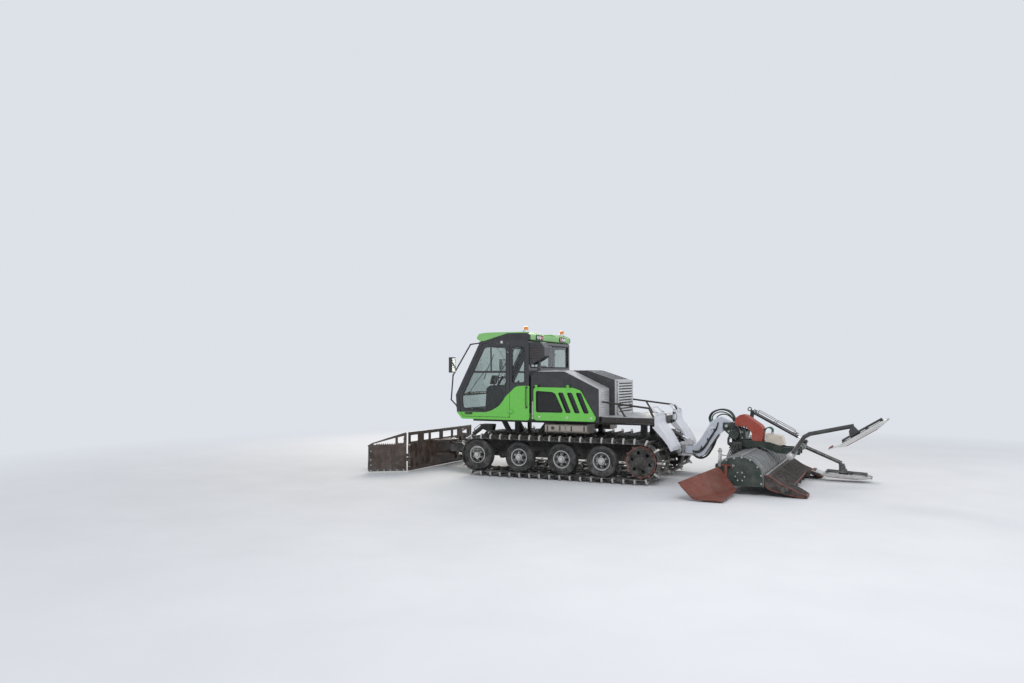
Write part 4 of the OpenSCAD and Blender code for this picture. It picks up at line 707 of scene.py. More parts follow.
# Engine body and deck
BODY_W, BODY_BACK, BODY_TOP, DECK_Z, DECK_BACK, DECK_W = 1.0, -0.88, 1.98, 1.157, -1.87, 0.93
HOOD_W, HOOD_BACK, SLOT_PITCH = 0.455, -1.05, 0.175
SIDE_WINDOW = soften([(0.37, 1.21), (0.37, 1.61), (0.04, 1.59), (-0.02, 1.56), (-0.19, 1.21)], 0.04)
SLOT_LIPS = [soften([(x - i * SLOT_PITCH, z) for x, z in ((-0.07, 1.58), (-0.17, 1.58), (-0.33, 1.21),
                                                         (-0.232, 1.21))], 0.022) for i in range(3)]
for side, tag in SIDES:
    body = "side_panel_" + tag + "_body"
    lip = Part("panel_slot_lips_" + tag, "trim", body, side=side)
    for outline in [SIDE_WINDOW] + SLOT_LIPS:
        lip.tube(on_y(BODY_W - 0.006, *outline), 0.007, 6, 1, True)
    grille = Part("panel_mesh_" + tag, "mesh", body, side=side)
    y0, y1 = BODY_W - 0.024, BODY_W - 0.019
    for x in (0.35 - k * 0.033 for k in range(17)):
        top = 1.6 + min(0.0, x) * 1.9
        if top > 1.24:
            grille.rod((x, y0, 1.205), (x, y0, top), 0.0028, 6)
    for z in (1.225 + k * 0.032 for k in range(12)):
        grille.rod((-0.185 + (z - 1.21) * 0.48, y1, z), (0.368, y1, z), 0.0028, 6)
    for i in range(3):
        for z in (1.235 + k * 0.038 for k in range(9)):
            a = -0.33 + 0.16 * (z - 1.21) / 0.37 - i * SLOT_PITCH
            grille.rod((a + 0.004, y0, z), (a + 0.092, y0, z), 0.0045, 6)
    catch = Part("panel_catches_" + tag, "alloy", body, side=side)
    for x in (0.3, -0.25, -0.72):
        catch.turned([(-0.001, 0), (-0.001, 0.022), (0.004, 0.022), (0.006, 0.018), (0.006, 0)],
                     (x, BODY_W, 1.12), OUT, 24)
        catch.block((x, BODY_W + (0.0075 if side > 0 else 0.0025), 1.12), (0.028, 0.007, 0.008), 0.001)
    close(lip, grille, catch)

seam, y = Part("body_seams", "black"), BODY_W + 0.001
seam.tube(on_y(y, (0.467, 1.06), (0.467, 1.898), (0.388, 1.965), (-0.203, 1.965), (-0.865, 1.645),
               (-0.865, 1.06)), 0.006, 6, 1)
seam.tube([(-0.206, y, 1.7), (-0.206, y, 1.96)], 0.004, 6, 1)
seam.bolts([(x, BODY_W, 1.92) for x in (0.4, 0.1, -0.15)]
           + [(-0.3 - u, BODY_W, 1.88 - (u + 0.094) * 0.48) for u in (0, 0.15, 0.3, 0.45)], OUT, 0.008, 0.006)
top = Part("cover_details", "silver")
for y in (0.56, 0.9):
    top.tube([(0.3, y, 1.981), (-0.198, y, 1.981), (-0.872, y, 1.656)], 0.007, 6, 1)
for z in (1.23 + k * 0.046 for k in range(9)):
    top.hull((BODY_BACK - 0.012, 0.53, z), (BODY_BACK + 0.002, 0.9, z + 0.022), 0.005)
top.bolts([(BODY_BACK, y, 1.205 + k * 0.085) for y in (0.49, 0.965) for k in range(6)], BACK, 0.007, 0.006)
hood = Part("hood_louvres", "black")
for k in range(3, 10):
    x = -0.3 - k * 0.062
    hood.hull((x, HOOD_W - 0.006, BODY_TOP + 0.035 + (x + 0.203) * 0.485),
              (x + 0.034, HOOD_W + 0.006, 1.935 - k * 0.012), 0.004)
for y in (0.1, 0.3):
    hood.tube([(0.3, y, BODY_TOP + 0.01), (-0.462, y, BODY_TOP + 0.01), (HOOD_BACK + 0.08, y, 1.826)],
              0.006, 6, 1)
hood.bolts([(0.27 - k * 0.115, 0.42, BODY_TOP + 0.01) for k in range(7)], TOP, 0.007, 0.006)
close(seam, top, hood, flip=True)

core, rim = Part("cooler_core", "mesh"), Part("cooler_rim", "silver")
for k in range(44):
    y = -HOOD_W + 0.014 + k * 0.0208
    core.rod((HOOD_BACK + 0.018, y, DECK_Z + 0.012), (HOOD_BACK + 0.018, y, 1.8), 0.003, 6)
for y0, y1, z0, z1 in ((-HOOD_W, -HOOD_W + 0.03, DECK_Z + 0.005, 1.8),
                       (HOOD_W - 0.03, HOOD_W, DECK_Z + 0.005, 1.8), (-HOOD_W, HOOD_W, 1.785, 1.812),
                       (-HOOD_W, HOOD_W, DECK_Z + 0.003, DECK_Z + 0.028)):
    rim.hull((HOOD_BACK - 0.01, y0, z0), (HOOD_BACK + 0.03, y1, z1), 0.004)

# Deck: raised tread marks, rings of the tie holes, edge plates and feet of the rails
TIE = [(x, y) for x in (-1.66, -1.26) for y in (-0.75, 0.75)]
deck, ties = Part("deck_tread", "alloy"), Part("deck_tie_rings", "steel")
for i in range(25):
    for j in range(46):
        x, y = DECK_BACK + 0.045 + i * 0.0372, -DECK_W + 0.04 + j * 0.04
        under_hood = abs(y) < HOOD_W + 0.01 and x > HOOD_BACK - 0.02
        if under_hood or any(math.hypot(x - u, y - v) < 0.03 for u, v in TIE):
            continue
        spot, turn = at(x, y, DECK_Z + 0.0004), tilted(math.radians(45 if (i + j) % 2 else -45), "Z")
        ring = [deck.bm.verts.new(spot + turn @ Vector(p))
                for p in ((0.013, 0, 0), (0, 0.0042, 0), (-0.013, 0, 0), (0, -0.0042, 0))]
        crest = deck.bm.verts.new(at(x, y, DECK_Z + 0.0032))
        for k in range(4):
            deck.bm.faces.new((ring[k - 1], ring[k], crest))
for x, y in TIE:
    ties.turned([(0, 0.0095), (0, 0.022), (0.003, 0.022), (0.0045, 0.019), (0.0045, 0.0095)], (x, y, DECK_Z),
                TOP, 24)
close(core, rim, deck, ties)
edge, lip = Part("deck_edge", "black"), Part("deck_lip", "steel")
for x in (-1.815, -1.5, -1.2, -0.93):
    edge.block((x, DECK_W, 1.1), (0.06, 0.008, 0.08))
    edge.bolts([(x, DECK_W + 0.004, z) for z in (1.08, 1.12)], OUT, 0.008, 0.007)
for x in (-1.33, DECK_BACK + 0.03):
    edge.turned([(0, 0.034), (0.006, 0.034), (0.01, 0.026), (0.016, 0.0175)], (x, DECK_W - 0.03, DECK_Z),
                TOP, 20)
lip.hull((DECK_BACK + 0.004, DECK_W - 0.0035, 1.1465), (BODY_BACK - 0.004, DECK_W + 0.0035, 1.1595), 0.002)
lip.tube([(-1.34, 0.9, 1.0435), (-1.78, 0.9, 1.0435), (-1.83, 0.86, 1.03)], 0.008, 8, 2)
close(edge, lip, flip=True)

# Tank straps with a filler cap on the left, canister bands and the slats of the intake pod
straps, stations = Part("tank_straps", "black"), (-0.54, -0.29, -0.06, 0.19)
straps.bolts([(x, 0.8835, 0.885) for x in stations], OUT, 0.008, 0.008)
straps.mirror()
for x in stations:
    for y in (0.8795, -0.8785):
        straps.block((x, y, 0.9185), (0.028, 0.008, 0.093), 0.002)
straps.turned([(0, 0.03), (0.012, 0.03), (0.017, 0.026), (0.018, 0)], (0.08, 0.88, 0.92))
can, pod = Part("canister_bands", "steel"), Part("pod_louvres", "louvre")
for z in (1.14, 1.26, 1.37):
    can.turned([(-0.01, 0.0302), (-0.008, 0.0325), (0.008, 0.0325), (0.01, 0.0302)], (0.456, 0.952, z), TOP)
for z in (2.196 + k * 0.046 for k in range(6)):
    pod.hull((0.252, 1.004, z), (0.452, 1.014, z + 0.011), 0.004, tilted(-0.35, "X"))
pod.turned([(0, 0.0322), (0.004, 0.04), (0.022, 0.04), (0.026, 0.0322)], (0.356, 0.88, 2.03), TOP)
close(straps, can, pod)

# Rear guards, lift and neck
GUARD_IN, BOARD_X, TILT_X, TILT_Z = 0.33, -1.8703, -2.96, 1.0
GUARD = ((-1.9103, 1.06), (-1.9623, 0.985), (-2.035, 0.89), (-2.095, 0.795), (-2.142, 0.705), (-2.172, 0.64))
beads, feet, rims = Part("guard_beads", "white"), Part("guard_bolts", "steel"), Part("guard_edges", "white")
for y in (0.47, 0.63, 0.79):
    beads.tube([(x + 0.003, y, z) for x, z in GUARD], 0.011, 10, 3)
for y in (GUARD_IN + 0.006, DECK_W - 0.006):
    rims.tube([(BOARD_X - 0.016, y, 1.236), (BOARD_X - 0.03, y, 1.12)] + [(x - 0.001, y, z) for x, z in GUARD]
              + [(-2.168, y, 0.586)], 0.007, 8, 3)
rims.hull((-2.178, 0.34, 0.584), (-2.15, 0.92, 0.6))
feet.bolts([(BOARD_X - 0.03, y, z) for y in (0.42, 0.56, 0.7, 0.84) for z in (1.1, 1.2)], BACK, 0.011, 0.01)
for y in (GUARD_IN + 0.09, DECK_W - 0.09):
    feet.turned([(0, 0.028), (0.005, 0.028), (0.01, 0.02), (0.02, 0.0135)], (BOARD_X - 0.0155, y, 1.24),
                TOP, 20)
latch, y = Part("guard_latches", "black"), GUARD_IN - 0.004
for z in (1.045, 1.19):
    latch.block((-1.892, y, z), (0.028, 0.028, 0.044), 0.004)
    latch.rod((-1.905, y, z), (-1.925, y, z - 0.004), 0.012, 12)
latch.tube(on_y(y, (-1.922, 1.186), (-1.945, 1.15), (-1.948, 1.1), (-1.93, 1.06), (-1.915, 1.048)),
           0.006, 8, 5)
pins = Part("lift_pins", "steel")
pins.turned([(0, 0.06), (0.01, 0.06), (0.014, 0.052), (0.014, 0.0325)], (-2.13, 0.2905, 0.56), OUT, 32)
pins.bolts(on_y(0.2905, (-1.9, 0.7), (-1.9, 0.56), (-1.98, 0.64), (-1.98, 0.56)), OUT, 0.014, 0.012)
neck = Part("neck_ribs", "white", "neck_body", "silver_paint")
neck.tube(on_y(0.09, (-2.375, 0.625), (-2.47, 0.718), (-2.6, 0.918), (-2.715, 1.082), (-2.84, 1.146)),
          0.011, 8, 5)
neck.turned([(0.099, 0.072), (0.11, 0.072), (0.116, 0.064), (0.116, 0.046)], (-2.7, 0, 0.9))
close(beads, feet, rims, latch, pins, neck, flip=True)

# Rubber guard under the neck, hoses along it and their clips
guard, rows = Part("neck_guard", "black", "neck_body"), []
inner = [Vector(p) for p in ((-2.33, 0.486), (-2.415, 0.446), (-2.475, 0.432), (-2.56, 0.478), (-2.68, 0.655),
                             (-2.8, 0.835))]
for k, p in enumerate(inner):
    ahead = inner[min(k + 1, len(inner) - 1)] - inner[max(k - 1, 0)]
    out = Vector((ahead.y, -ahead.x)).normalized()
    q = p + out * (-0.014 if out.y > 0 else 0.014)
    rows.append([guard.bm.verts.new(at(q.x, y, q.y)) for y in (-0.096, -0.05, 0, 0.05, 0.096)])
skin = [guard.bm.faces.new((a[k], a[k + 1], b[k + 1], b[k])) for a, b in zip(rows, rows[1:])
        for k in range(4)]
bmesh.ops.recalc_face_normals(guard.bm, faces=skin)
bmesh.ops.solidify(guard.bm, geom=skin, thickness=0.01)
lines, clips = Part("neck_hoses", "hose", "neck_body"), Part("neck_clips", "black", "neck_body")
for y, up in ((0.114, 0), (0.118, 0.03)):
    lines.tube([(x, y, z + up * share) for x, z, share in (
        (-2.35, 0.52, 0.5), (-2.45, 0.505, 1), (-2.56, 0.59, 1), (-2.68, 0.78, 1), (-2.78, 0.94, 0.8),
        (-2.81, 1.06, 0))], 0.01, 8, 5)
lines.mirror()
for y, drop in zip((-0.06, -0.03, 0, 0.03, 0.06), (0, 0.012, 0, 0.012, 0)):
    lines.tube([(-2.33, y, 0.466), (-2.4, y, 0.42 - drop), (-2.5, y, 0.408 - drop), (-2.6, y, 0.47 - drop),
                (-2.69, y, 0.61), (-2.74, y, 0.73)], 0.011, 8, 5)
for y in (0.116, -0.096):
    for x, z, lean in ((-2.5, 0.59, -0.3), (-2.62, 0.735, 0.05), (-2.74, 0.915, 0.05)):
        clips.block((x, y, z), (0.02, 0.032, 0.072), 0.004, tilted(lean))
close(guard, lines, clips)


def cylinder_fittings(name, body, base, eye, radius, reach, y=0.0, bails=()):
    """Gland, ports and feed pipe of a cylinder laid in the x, z plane, and wire bails on its top."""
    line = Vector((eye[0] - base[0], 0, eye[1] - base[1]))
    along = line.normalized()
    up = Vector((-along.z, 0, along.x)) * math.copysign(1, along.x)
    turn = Matrix((along, up.cross(along), up)).transposed().to_4x4()
    move = Matrix.Translation((base[0], y, base[1])) @ turn
    part, end, high = Part(name, "black", body, move=move), line.length * reach, radius + 0.016
    part.turned([(end - 0.03, radius), (end - 0.028, radius * 1.08), (end - 0.006, radius * 1.08),
                 (end + 0.0005, radius)], (0, 0, 0), FRONT, 32)
    for s in (0.055, end - 0.06):
        part.turned([(-0.006, 0.014), (0.012, 0.014), (0.016, 0.01), (0.016, 0)], (s, 0, radius), TOP, 16)
    part.tube([(0.055, 0, high), (0.067, 0, high + 0.014), (end - 0.072, 0, high + 0.014),
               (end - 0.06, 0, high)], 0.006, 8, 3)
    part.done()
    if bails:
        wire, foot = Part(name + "_bails", "steel", body, move=move), radius - 0.004
        for a, b in ((line.length * s for s in pair) for pair in bails):
            wire.tube([(s, 0, foot + rise) for s, rise in ((a, 0), (a, 0.05), (a + 0.016, 0.064),
                                                           (b - 0.016, 0.064), (b, 0.05), (b, 0))], 0.007)
            for s in (a, b):
                wire.turned([(0, 0.018), (0.01, 0.018), (0.014, 0.01)], (s, 0, foot), TOP, 14)
        wire.done()


cylinder_fittings("lift_fittings", "lift_barrel_body", (-1.93, 0.868), (-2.285, 0.716), 0.046, 0.58)
cylinder_fittings("blade_fittings", "blade_barrel_body", (1.985, 0.86), (2.4, 0.56), 0.045, 0.58)
cylinder_fittings("setter_fittings", "setter_barrel_body", (-3.24, 1.21), (-4.19, 0.69), 0.03, 0.85, -0.95,
                  ((0.09, 0.4), (0.44, 0.76)))
ring = Part("setter_ring", "black", "tiller_body")
ring.tube([(-3.19 + 0.032 * math.cos(a), -0.95, 1.262 + 0.032 * math.sin(a))
           for a in (k * math.tau / 12 for k in range(12))], 0.01, 8, 2, True)
ring.rod((-3.232, -0.95, 1.238), (-3.205, -0.95, 1.246), 0.012, 12)

# Hoses from the neck over to the head, drawn as tubes along the arches below
HOSE_END = (-3.08, 1.0463)
ARCH_OUT = ((-2.668, 1.04), (-2.64, 1.13), (-2.69, 1.225), (-2.79, 1.275), (-2.89, 1.285), (-2.99, 1.255),
            (-3.055, 1.185), (-3.078, 1.11), HOSE_END)
ARCH_MID = ((-2.705, 1.066), (-2.69, 1.13), (-2.718, 1.19), (-2.782, 1.23), (-2.862, 1.242), (-2.942, 1.226),
            (-3.012, 1.18), (-3.054, 1.115), (-3.067, 1.0463))
ARCH_IN = ((-2.752, 1.108), (-2.77, 1.15), (-2.815, 1.184), (-2.88, 1.2), (-2.948, 1.188), (-3.005, 1.15),
           (-3.05, 1.1), (-3.075, 1.0463))
HOSES = ((ARCH_OUT, -0.06, 0.014, "hose"), (ARCH_OUT, 0, 0.014, "hose_green"),
         (ARCH_OUT, 0.06, 0.014, "hose"), (ARCH_MID, 0.03, 0.0105, "hose_green"),
         (ARCH_IN, -0.03, 0.0105, "hose"))
for k, (arch, y, radius, look) in enumerate(HOSES):
    route = curve(on_y(y, *arch), 4)
    hose = Part("hose_%d" % (k + 1), look, ("neck_body", "tiller_body", at(-2.66, 0, 1.1), at(-3.06, 0, 1.1)))
    hose.tube(route, radius, 14, 2)
    obj, path = hose.done(), [tuple(at(*p)) for p in route]
    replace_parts(obj, "hoses")
ends, starts = Part("hose_fittings", "steel", "tiller_body"), Part("hose_collars", "steel", "neck_body")
for y in (-0.06, 0, 0.06):
    ends.turned([(0, 0.024), (0.012, 0.024), (0.012, 0.019), (0.03, 0.019), (0.034, 0.0145)],
                (HOSE_END[0], y, 1.046), TOP, 6)
    starts.turned([(-0.012, 0.026), (0.004, 0.026), (0.01, 0.019), (0.034, 0.019), (0.038, 0.0145)],
                  (-2.67, y, 1.03), (0.3, 0, 1), 6)
for spot in ((-2.704, 0.03, 1.062), (-2.75, -0.03, 1.104)):
    starts.turned([(-0.01, 0.021), (0.004, 0.021), (0.01, 0.015), (0.026, 0.015), (0.029, 0.011)], spot,
                  (-0.15, 0, 1), 6)
close(ring, ends, starts)

# Tiller
HALF, TILLER = 1.6, "tiller_body"
ear, nut = Part("head_plates", "head", TILLER), Part("head_bolts", "steel", TILLER)
ear.turned([(0, 0.062), (0.008, 0.062), (0.012, 0.056), (0.012, 0.031)], (TILT_X, 0.1461, TILT_Z), OUT, 32)
ear.turned([(0.146, 0), (0.146, 0.095), (0.186, 0.098), (0.2, 0.082), (0.3, 0.082), (0.312, 0.074),
            (0.312, 0)], (-3.12, 0, 0.86), OUT, 36)
nut.turned([(0, 0.03), (0.01, 0.03), (0.014, 0.024), (0.014, 0)], (TILT_X, 0.16, TILT_Z), OUT, 6)
nut.bolts(on_y(0.146, (-3, 0.905), (-3.085, 0.7), (-3.23, 0.8), (-3.23, 0.9), (-3.12, 0.92)),
          OUT, 0.013, 0.012)
nut.bolt_ring(-3.12, 0.194, 0.86, 0.083, 8, 0.008, 0.008)
for y in (0.35, 0.75, 1.15, 1.48):
    ear.block((-3.044, y, 0.405), (0.012, 0.09, 0.12))
    nut.bolts([(-3.038, y + dy, z) for dy in (-0.028, 0.028) for z in (0.37, 0.44)], FRONT, 0.01)
ear.mirror()
for x in (-3.33 - k * 0.13 for k in range(5)):
    for y in (0.187, -0.185):
        ear.block((x, y, 0.65), (0.012, 0.01, 0.1), 0.002)
nut.mirror()
valves, tangle = Part("head_valves", "black", TILLER), Part("head_hoses", "hose", TILLER)
valves.block((-3.16, 0.235, 0.65), (0.16, 0.096, 0.18), 0.008)
for k in range(4):
    x = -3.205 + 0.03 * k
    valves.turned([(0, 0.016), (0.045, 0.016), (0.05, 0.011), (0.062, 0.011), (0.062, 0)],
                  (-3.081, 0.235, 0.588 + k * 0.04), FRONT, 14)
    valves.turned([(0, 0.013), (0.03, 0.013), (0.034, 0)], (x, 0.28, 0.64), OUT, 12)
    tangle.tube([(x, 0.31, 0.64), (x, 0.345 + 0.02 * k, 0.655), (x - 0.02, 0.4 + 0.05 * k, 0.7),
                 (x - 0.03, 0.48 + 0.09 * k, 0.66), (-3.16 + 0.01 * k, 0.56 + 0.12 * k, 0.585),
                 (-3.13, 0.62 + 0.14 * k, 0.5)], 0.011, 8, 5)
for x in (-3.225, -3.195, -3.165):
    tangle.tube([(x, 0.235, 0.738), (x, 0.24, 0.8), (x + 0.02, 0.26, 0.9), (x + 0.055, 0.225, 0.98),
                 (x + 0.085, 0.175, 1.02)], 0.01, 8, 5)
valves.mirror()
for y, wide in ((0.175, 0.042), (-0.175, 0.018)):
    valves.block((-3.16, y, 0.65), (0.04, wide, 0.1))
tangle.mirror()
links, pipes = Part("head_links", "steel", TILLER), Part("head_pipes", "black", TILLER)
links.block((-3.112, 1.5, 0.565), (0.044, 0.048, 0.21), 0.006)
links.turned([(0, 0.03), (0.012, 0.034), (0.03, 0.034), (0.042, 0.022), (0.06, 0.022), (0.064, 0)],
             (-3.112, 1.5, 0.668), TOP, 20)
links.rod((-3.102, 1.52, 0.64), (-3.108, 1.592, 0.54), 0.011, 12)
links.turned([(-0.012, 0.022), (0.012, 0.022), (0.012, 0.009)], (-3.108, 1.592, 0.53), FRONT, 18)
links.tube([(-3.122, 1.48, 0.63), (-3.142, 1.38, 0.6), (-3.172, 1.24, 0.59), (-3.182, 1.08, 0.584)], 0.008)
for k in range(5):
    y = 0.2 + 0.03 * k
    pipes.tube([(-3.06, 0.165, 0.93 - 0.03 * k), (-3.03, y, 0.9 - 0.03 * k), (-3.02, y + 0.03, 0.8),
                (-3.03, y + 0.06, 0.69), (-3.075, 0.235 + 0.012 * k, 0.6 + 0.03 * k)], 0.0085)
pipes.tube([(-3.1, 0.16, 0.97), (-3.15, 0.23, 1.01), (-3.21, 0.3, 0.96), (-3.24, 0.33, 0.84),
            (-3.22, 0.29, 0.74)], 0.011, 10)
close(links, pipes, flip=True)

# Casing: end plates, bars over the top, strips and bearing caps
OUTLINE = ((-3.098, 0.15), (-3.098, 0.47), (-3.16, 0.54), (-3.28, 0.6), (-3.475, 0.628), (-3.64, 0.57),
           (-3.76, 0.44), (-3.795, 0.3), (-3.795, 0.15))
dark, ribs, caps = Part("casing_ends", "head", TILLER), Part("casing_ribs", "casing", TILLER), Part(
    "casing_bolts", "steel", TILLER)
dark.prism(soften([(x * 0.985 - 0.051, 0.15 + (z - 0.15) * 0.965) for x, z in OUTLINE], 0.02), "y",
           HALF - 0.001, HALF + 0.006, 0.002)
dark.turned([(0.006, 0.085), (0.012, 0.085), (0.016, 0.078), (0.016, 0.062), (0.024, 0.056), (0.024, 0)],
            (-3.44, HALF, 0.3), OUT, 36)
for x in (-3.3, -3.6):
    dark.block((x, HALF + 0.01, 0.36), (0.024, 0.012, 0.32))
dark.mirror()
for y in (-1.5 + k * 0.25 for k in range(13)):
    low = on_y(y, *OUTLINE[1:8])
    for a, b in zip(low, low[1:]):
        ribs.slat(a, b, 0.01, 0.018, 0.002)
ribs.hull((-3.5, -HALF + 0.01, 0.622), (-3.44, HALF - 0.01, 0.634))
caps.bolts(on_y(HALF + 0.006, (-3.13, 0.2), (-3.13, 0.33), (-3.13, 0.45), (-3.23, 0.55), (-3.35, 0.585),
                (-3.47, 0.6), (-3.6, 0.565), (-3.71, 0.46), (-3.765, 0.33), (-3.765, 0.2)), OUT, 0.01)
caps.bolt_ring(-3.44, HALF + 0.016, 0.3, 0.07, 6, 0.009, 0.008)
caps.mirror()
caps.bolts([(-3.47, -1.56 + k * 0.13, 0.634) for k in range(25)], TOP, 0.008, 0.007)

# Rear finisher: clamp strip, combs pressed into the mat, its worn rear edge and rollers
MAT_FALL = 0.4286


def mat_end(y):
    """Rearmost station of the mat at y: full length at both ends, shorter in the middle."""
    return -4.19 - 0.249 * min(1, max(0, (abs(y) - 1) / 0.16))


strip, comb = Part("finisher_strip", "alloy", TILLER), Part("finisher_combs", "mat", TILLER)
strip.hull((-3.852, -HALF + 0.055, 0.326), (-3.806, HALF - 0.055, 0.338), 0.003, tilted(0.1))
strip.bolts([(-3.828, -1.48 + k * 0.141, 0.339) for k in range(22)], TOP, 0.009, 0.008)
for y in (-HALF + 0.065 + k * 0.03095 for k in range(96)):
    last = max(mat_end(y) + 0.012, -4.4)
    line = ((-3.9, y, 0.3067), (-4.06, y, 0.2), (last, y, 0.2 + (last + 4.06) * MAT_FALL))
    for a, b in zip(line, line[1:]):
        comb.slat(a, b, 0.016, 0.01, 0.003, 0.002)
rim, disc, y = Part("finisher_edge", "brown", TILLER), Part("finisher_rollers", "tyre", TILLER), HALF - 0.052
rim.tube(on_y(y, (-3.83, 0.338), (-3.905, 0.305), (-4.06, 0.203), (-4.25, 0.121), (-4.412, 0.052)), 0.011)
rim.tube(on_y(y, (-3.815, 0.19), (-3.9, 0.106), (-4.295, 0.024), (-4.41, 0.026)), 0.01)
rim.hull((-4.438, 1.17, 0.0165), (-4.405, 1.55, 0.046), 0.006)
rim.mirror()
rim.tube([(mat_end(y) + 0.004, y, 0.19 + (mat_end(y) + 4.06) * MAT_FALL)
          for y in (-1.15, -1.1, -1, -0.5, 0, 0.5, 1, 1.1, 1.15)], 0.013)
disc.turned([(0, 0), (0, 0.05), (0.006, 0.062), (0.022, 0.062), (0.028, 0.05), (0.028, 0.018), (0.034, 0.016),
             (0.034, 0)], (-4.11, HALF - 0.052, 0.11), OUT, 32)
disc.mirror()
close(ear, nut, valves, tangle, dark, ribs, caps, strip, comb, rim, disc)

# Side finishers: rims, pressed beads and bolts on the faces
a, b, c, d = corners = [Vector(p) for p in ((-3.12, 1.7, 0.43), (-3.36, 1.7, 0.13), (-2.9, 2.51, 0.05),
                                            (-2.69, 2.51, 0.26))]
normal = (c - b).cross(a - b).normalized()
normal *= math.copysign(1, normal.x)
loop = []
for i, p in enumerate(corners):
    u, v = (corners[(i + 1) % 4] - p).normalized(), (corners[i - 1] - p).normalized()
    for t in (k * math.pi / 8 for k in range(5)):
        loop.append(p + (u + v) * 0.059 - u * 0.066 * math.cos(t) - v * 0.066 * math.sin(t))
for side, tag in SIDES:
    body = "side_finisher_" + tag + "_body"
    edge = Part("side_finisher_rims_" + tag, "brown", body, side=side)
    edge.tube(loop, 0.0135, 8, 2, True)
    for t in (0.25, 0.5, 0.75):
        edge.tube([a.lerp(d, t).lerp(b.lerp(c, t), s) for s in (0.06, 0.5, 0.94)], 0.0135, 8, 2)
    bolt = Part("side_finisher_bolts_" + tag, "steel", body, side=side)
    bolt.bolts([a.lerp(d, t).lerp(b.lerp(c, t), s) + normal * 0.011 for t in (0.14, 0.38, 0.62, 0.86)
                for s in (0.12, 0.88)], normal, 0.01, 0.008)
    for x, axis in ((-3.352, BACK), (-3.128, FRONT)):
        bolt.turned([(0, 0.02), (0.01, 0.02), (0.013, 0.016), (0.013, 0)], (x, 1.65, 0.47), axis, 6)
    close(edge, bolt)

# Hood and pump box
HOOD = soften([(-3.295, 1), (-3.11, 1.01), (-3.12, 1.14), (-3.2, 1.2), (-3.29, 1.195), (-3.56, 1.01),
               (-3.59, 0.94), (-3.56, 0.7), (-3.48, 0.67), (-3.4, 0.7), (-3.4, 0.9)], 0.03)
cover = Part("hood_seams", "red", TILLER)
for y in (-0.138, 0, 0.138):
    cover.tube(on_y(y, *HOOD), 0.0055, 6, 1, True)
cover.done()
box_trim, feed = Part("pump_box_fittings", "steel", TILLER), Part("pump_hoses", "hose_green", TILLER)
box_trim.bolts(on_y(0.1436, (-3.65, 0.72), (-3.65, 0.84), (-3.88, 0.82), (-3.88, 0.72)), OUT, 0.009, 0.007)
for y in (0.03, 0.09):
    box_trim.turned([(0, 0.02), (0.018, 0.02), (0.022, 0.014), (0.04, 0.014), (0.04, 0)], (-3.72, y, 0.868),
                    (-0.1, 0, 1), 6)
    feed.tube([(-3.724, y, 0.9), (-3.73, y, 0.95), (-3.69, y, 0.985), (-3.63, y * 0.9, 0.975),
               (-3.592, y * 0.8, 0.93)], 0.009, 8, 5)
collars = Part("setter_collars", "steel", TILLER)
for y in (0.838, 1.062):
    collars.turned([(-0.008, 0.0405), (-0.008, 0.058), (0.008, 0.058), (0.008, 0.0405)], (-4.14, y, 0.6))
collars.turned([(0, 0.041), (0.006, 0.041), (0.01, 0.03), (0.01, 0)], (-4.14, 1.08, 0.6))
close(box_trim, feed, collars, flip=True)

# Track setters: rails, cross boxes, clamps and wear shoes, drawn in the plate's frame about its middle
for side, tag, x, z, tilt, clamp in ((1, "left", -4.77, 0.66, 32, (-0.52, -0.38)),
                                     (-1, "right", -4.29, 0.09, -3, (-0.58, -0.47))):
    where = {"body": "setter_" + tag + "_body", "side": side,
             "move": Matrix.Translation((x, 0.95, z)) @ tilted(math.radians(tilt))}
    rails, boxes, shoes = (Part("setter_" + name + tag, look, **where) for name, look in (
        ("rails_", "alloy"), ("boxes_", "black"), ("shoes_", "brown")))
    rails.hull((-0.975, 0.162, 0.049), (-0.195, 0.178, 0.074))
    rails.bolts([(x, 0.15, 0.05) for x in (-0.25, -0.45, -0.65, -0.85)], TOP, 0.009, 0.007)
    boxes.rod((-0.235, 0.09, 0.104), (-0.915, 0.09, 0.104), 0.014, 14)
    boxes.hull((clamp[0], 0.06, 0.051), (clamp[1], 0.072, 0.15), 0.004)
    shoes.hull((-0.78, 0.088, 0.0006), (-0.26, 0.162, 0.01), 0.002)
    for part in (rails, boxes, shoes):
        part.mirror()
    for x in (-0.25, -0.65, -0.9):
        boxes.hull((x - 0.022, -0.155, 0.049), (x + 0.022, 0.155, 0.094), 0.004)
    boxes.hull((-0.999, -0.178, 0.036), (-0.96, 0.178, 0.056))
    shoes.hull((-0.06, -0.176, 0.082), (-0.002, 0.176, 0.108), 0.004)
    close(rails, boxes, shoes)

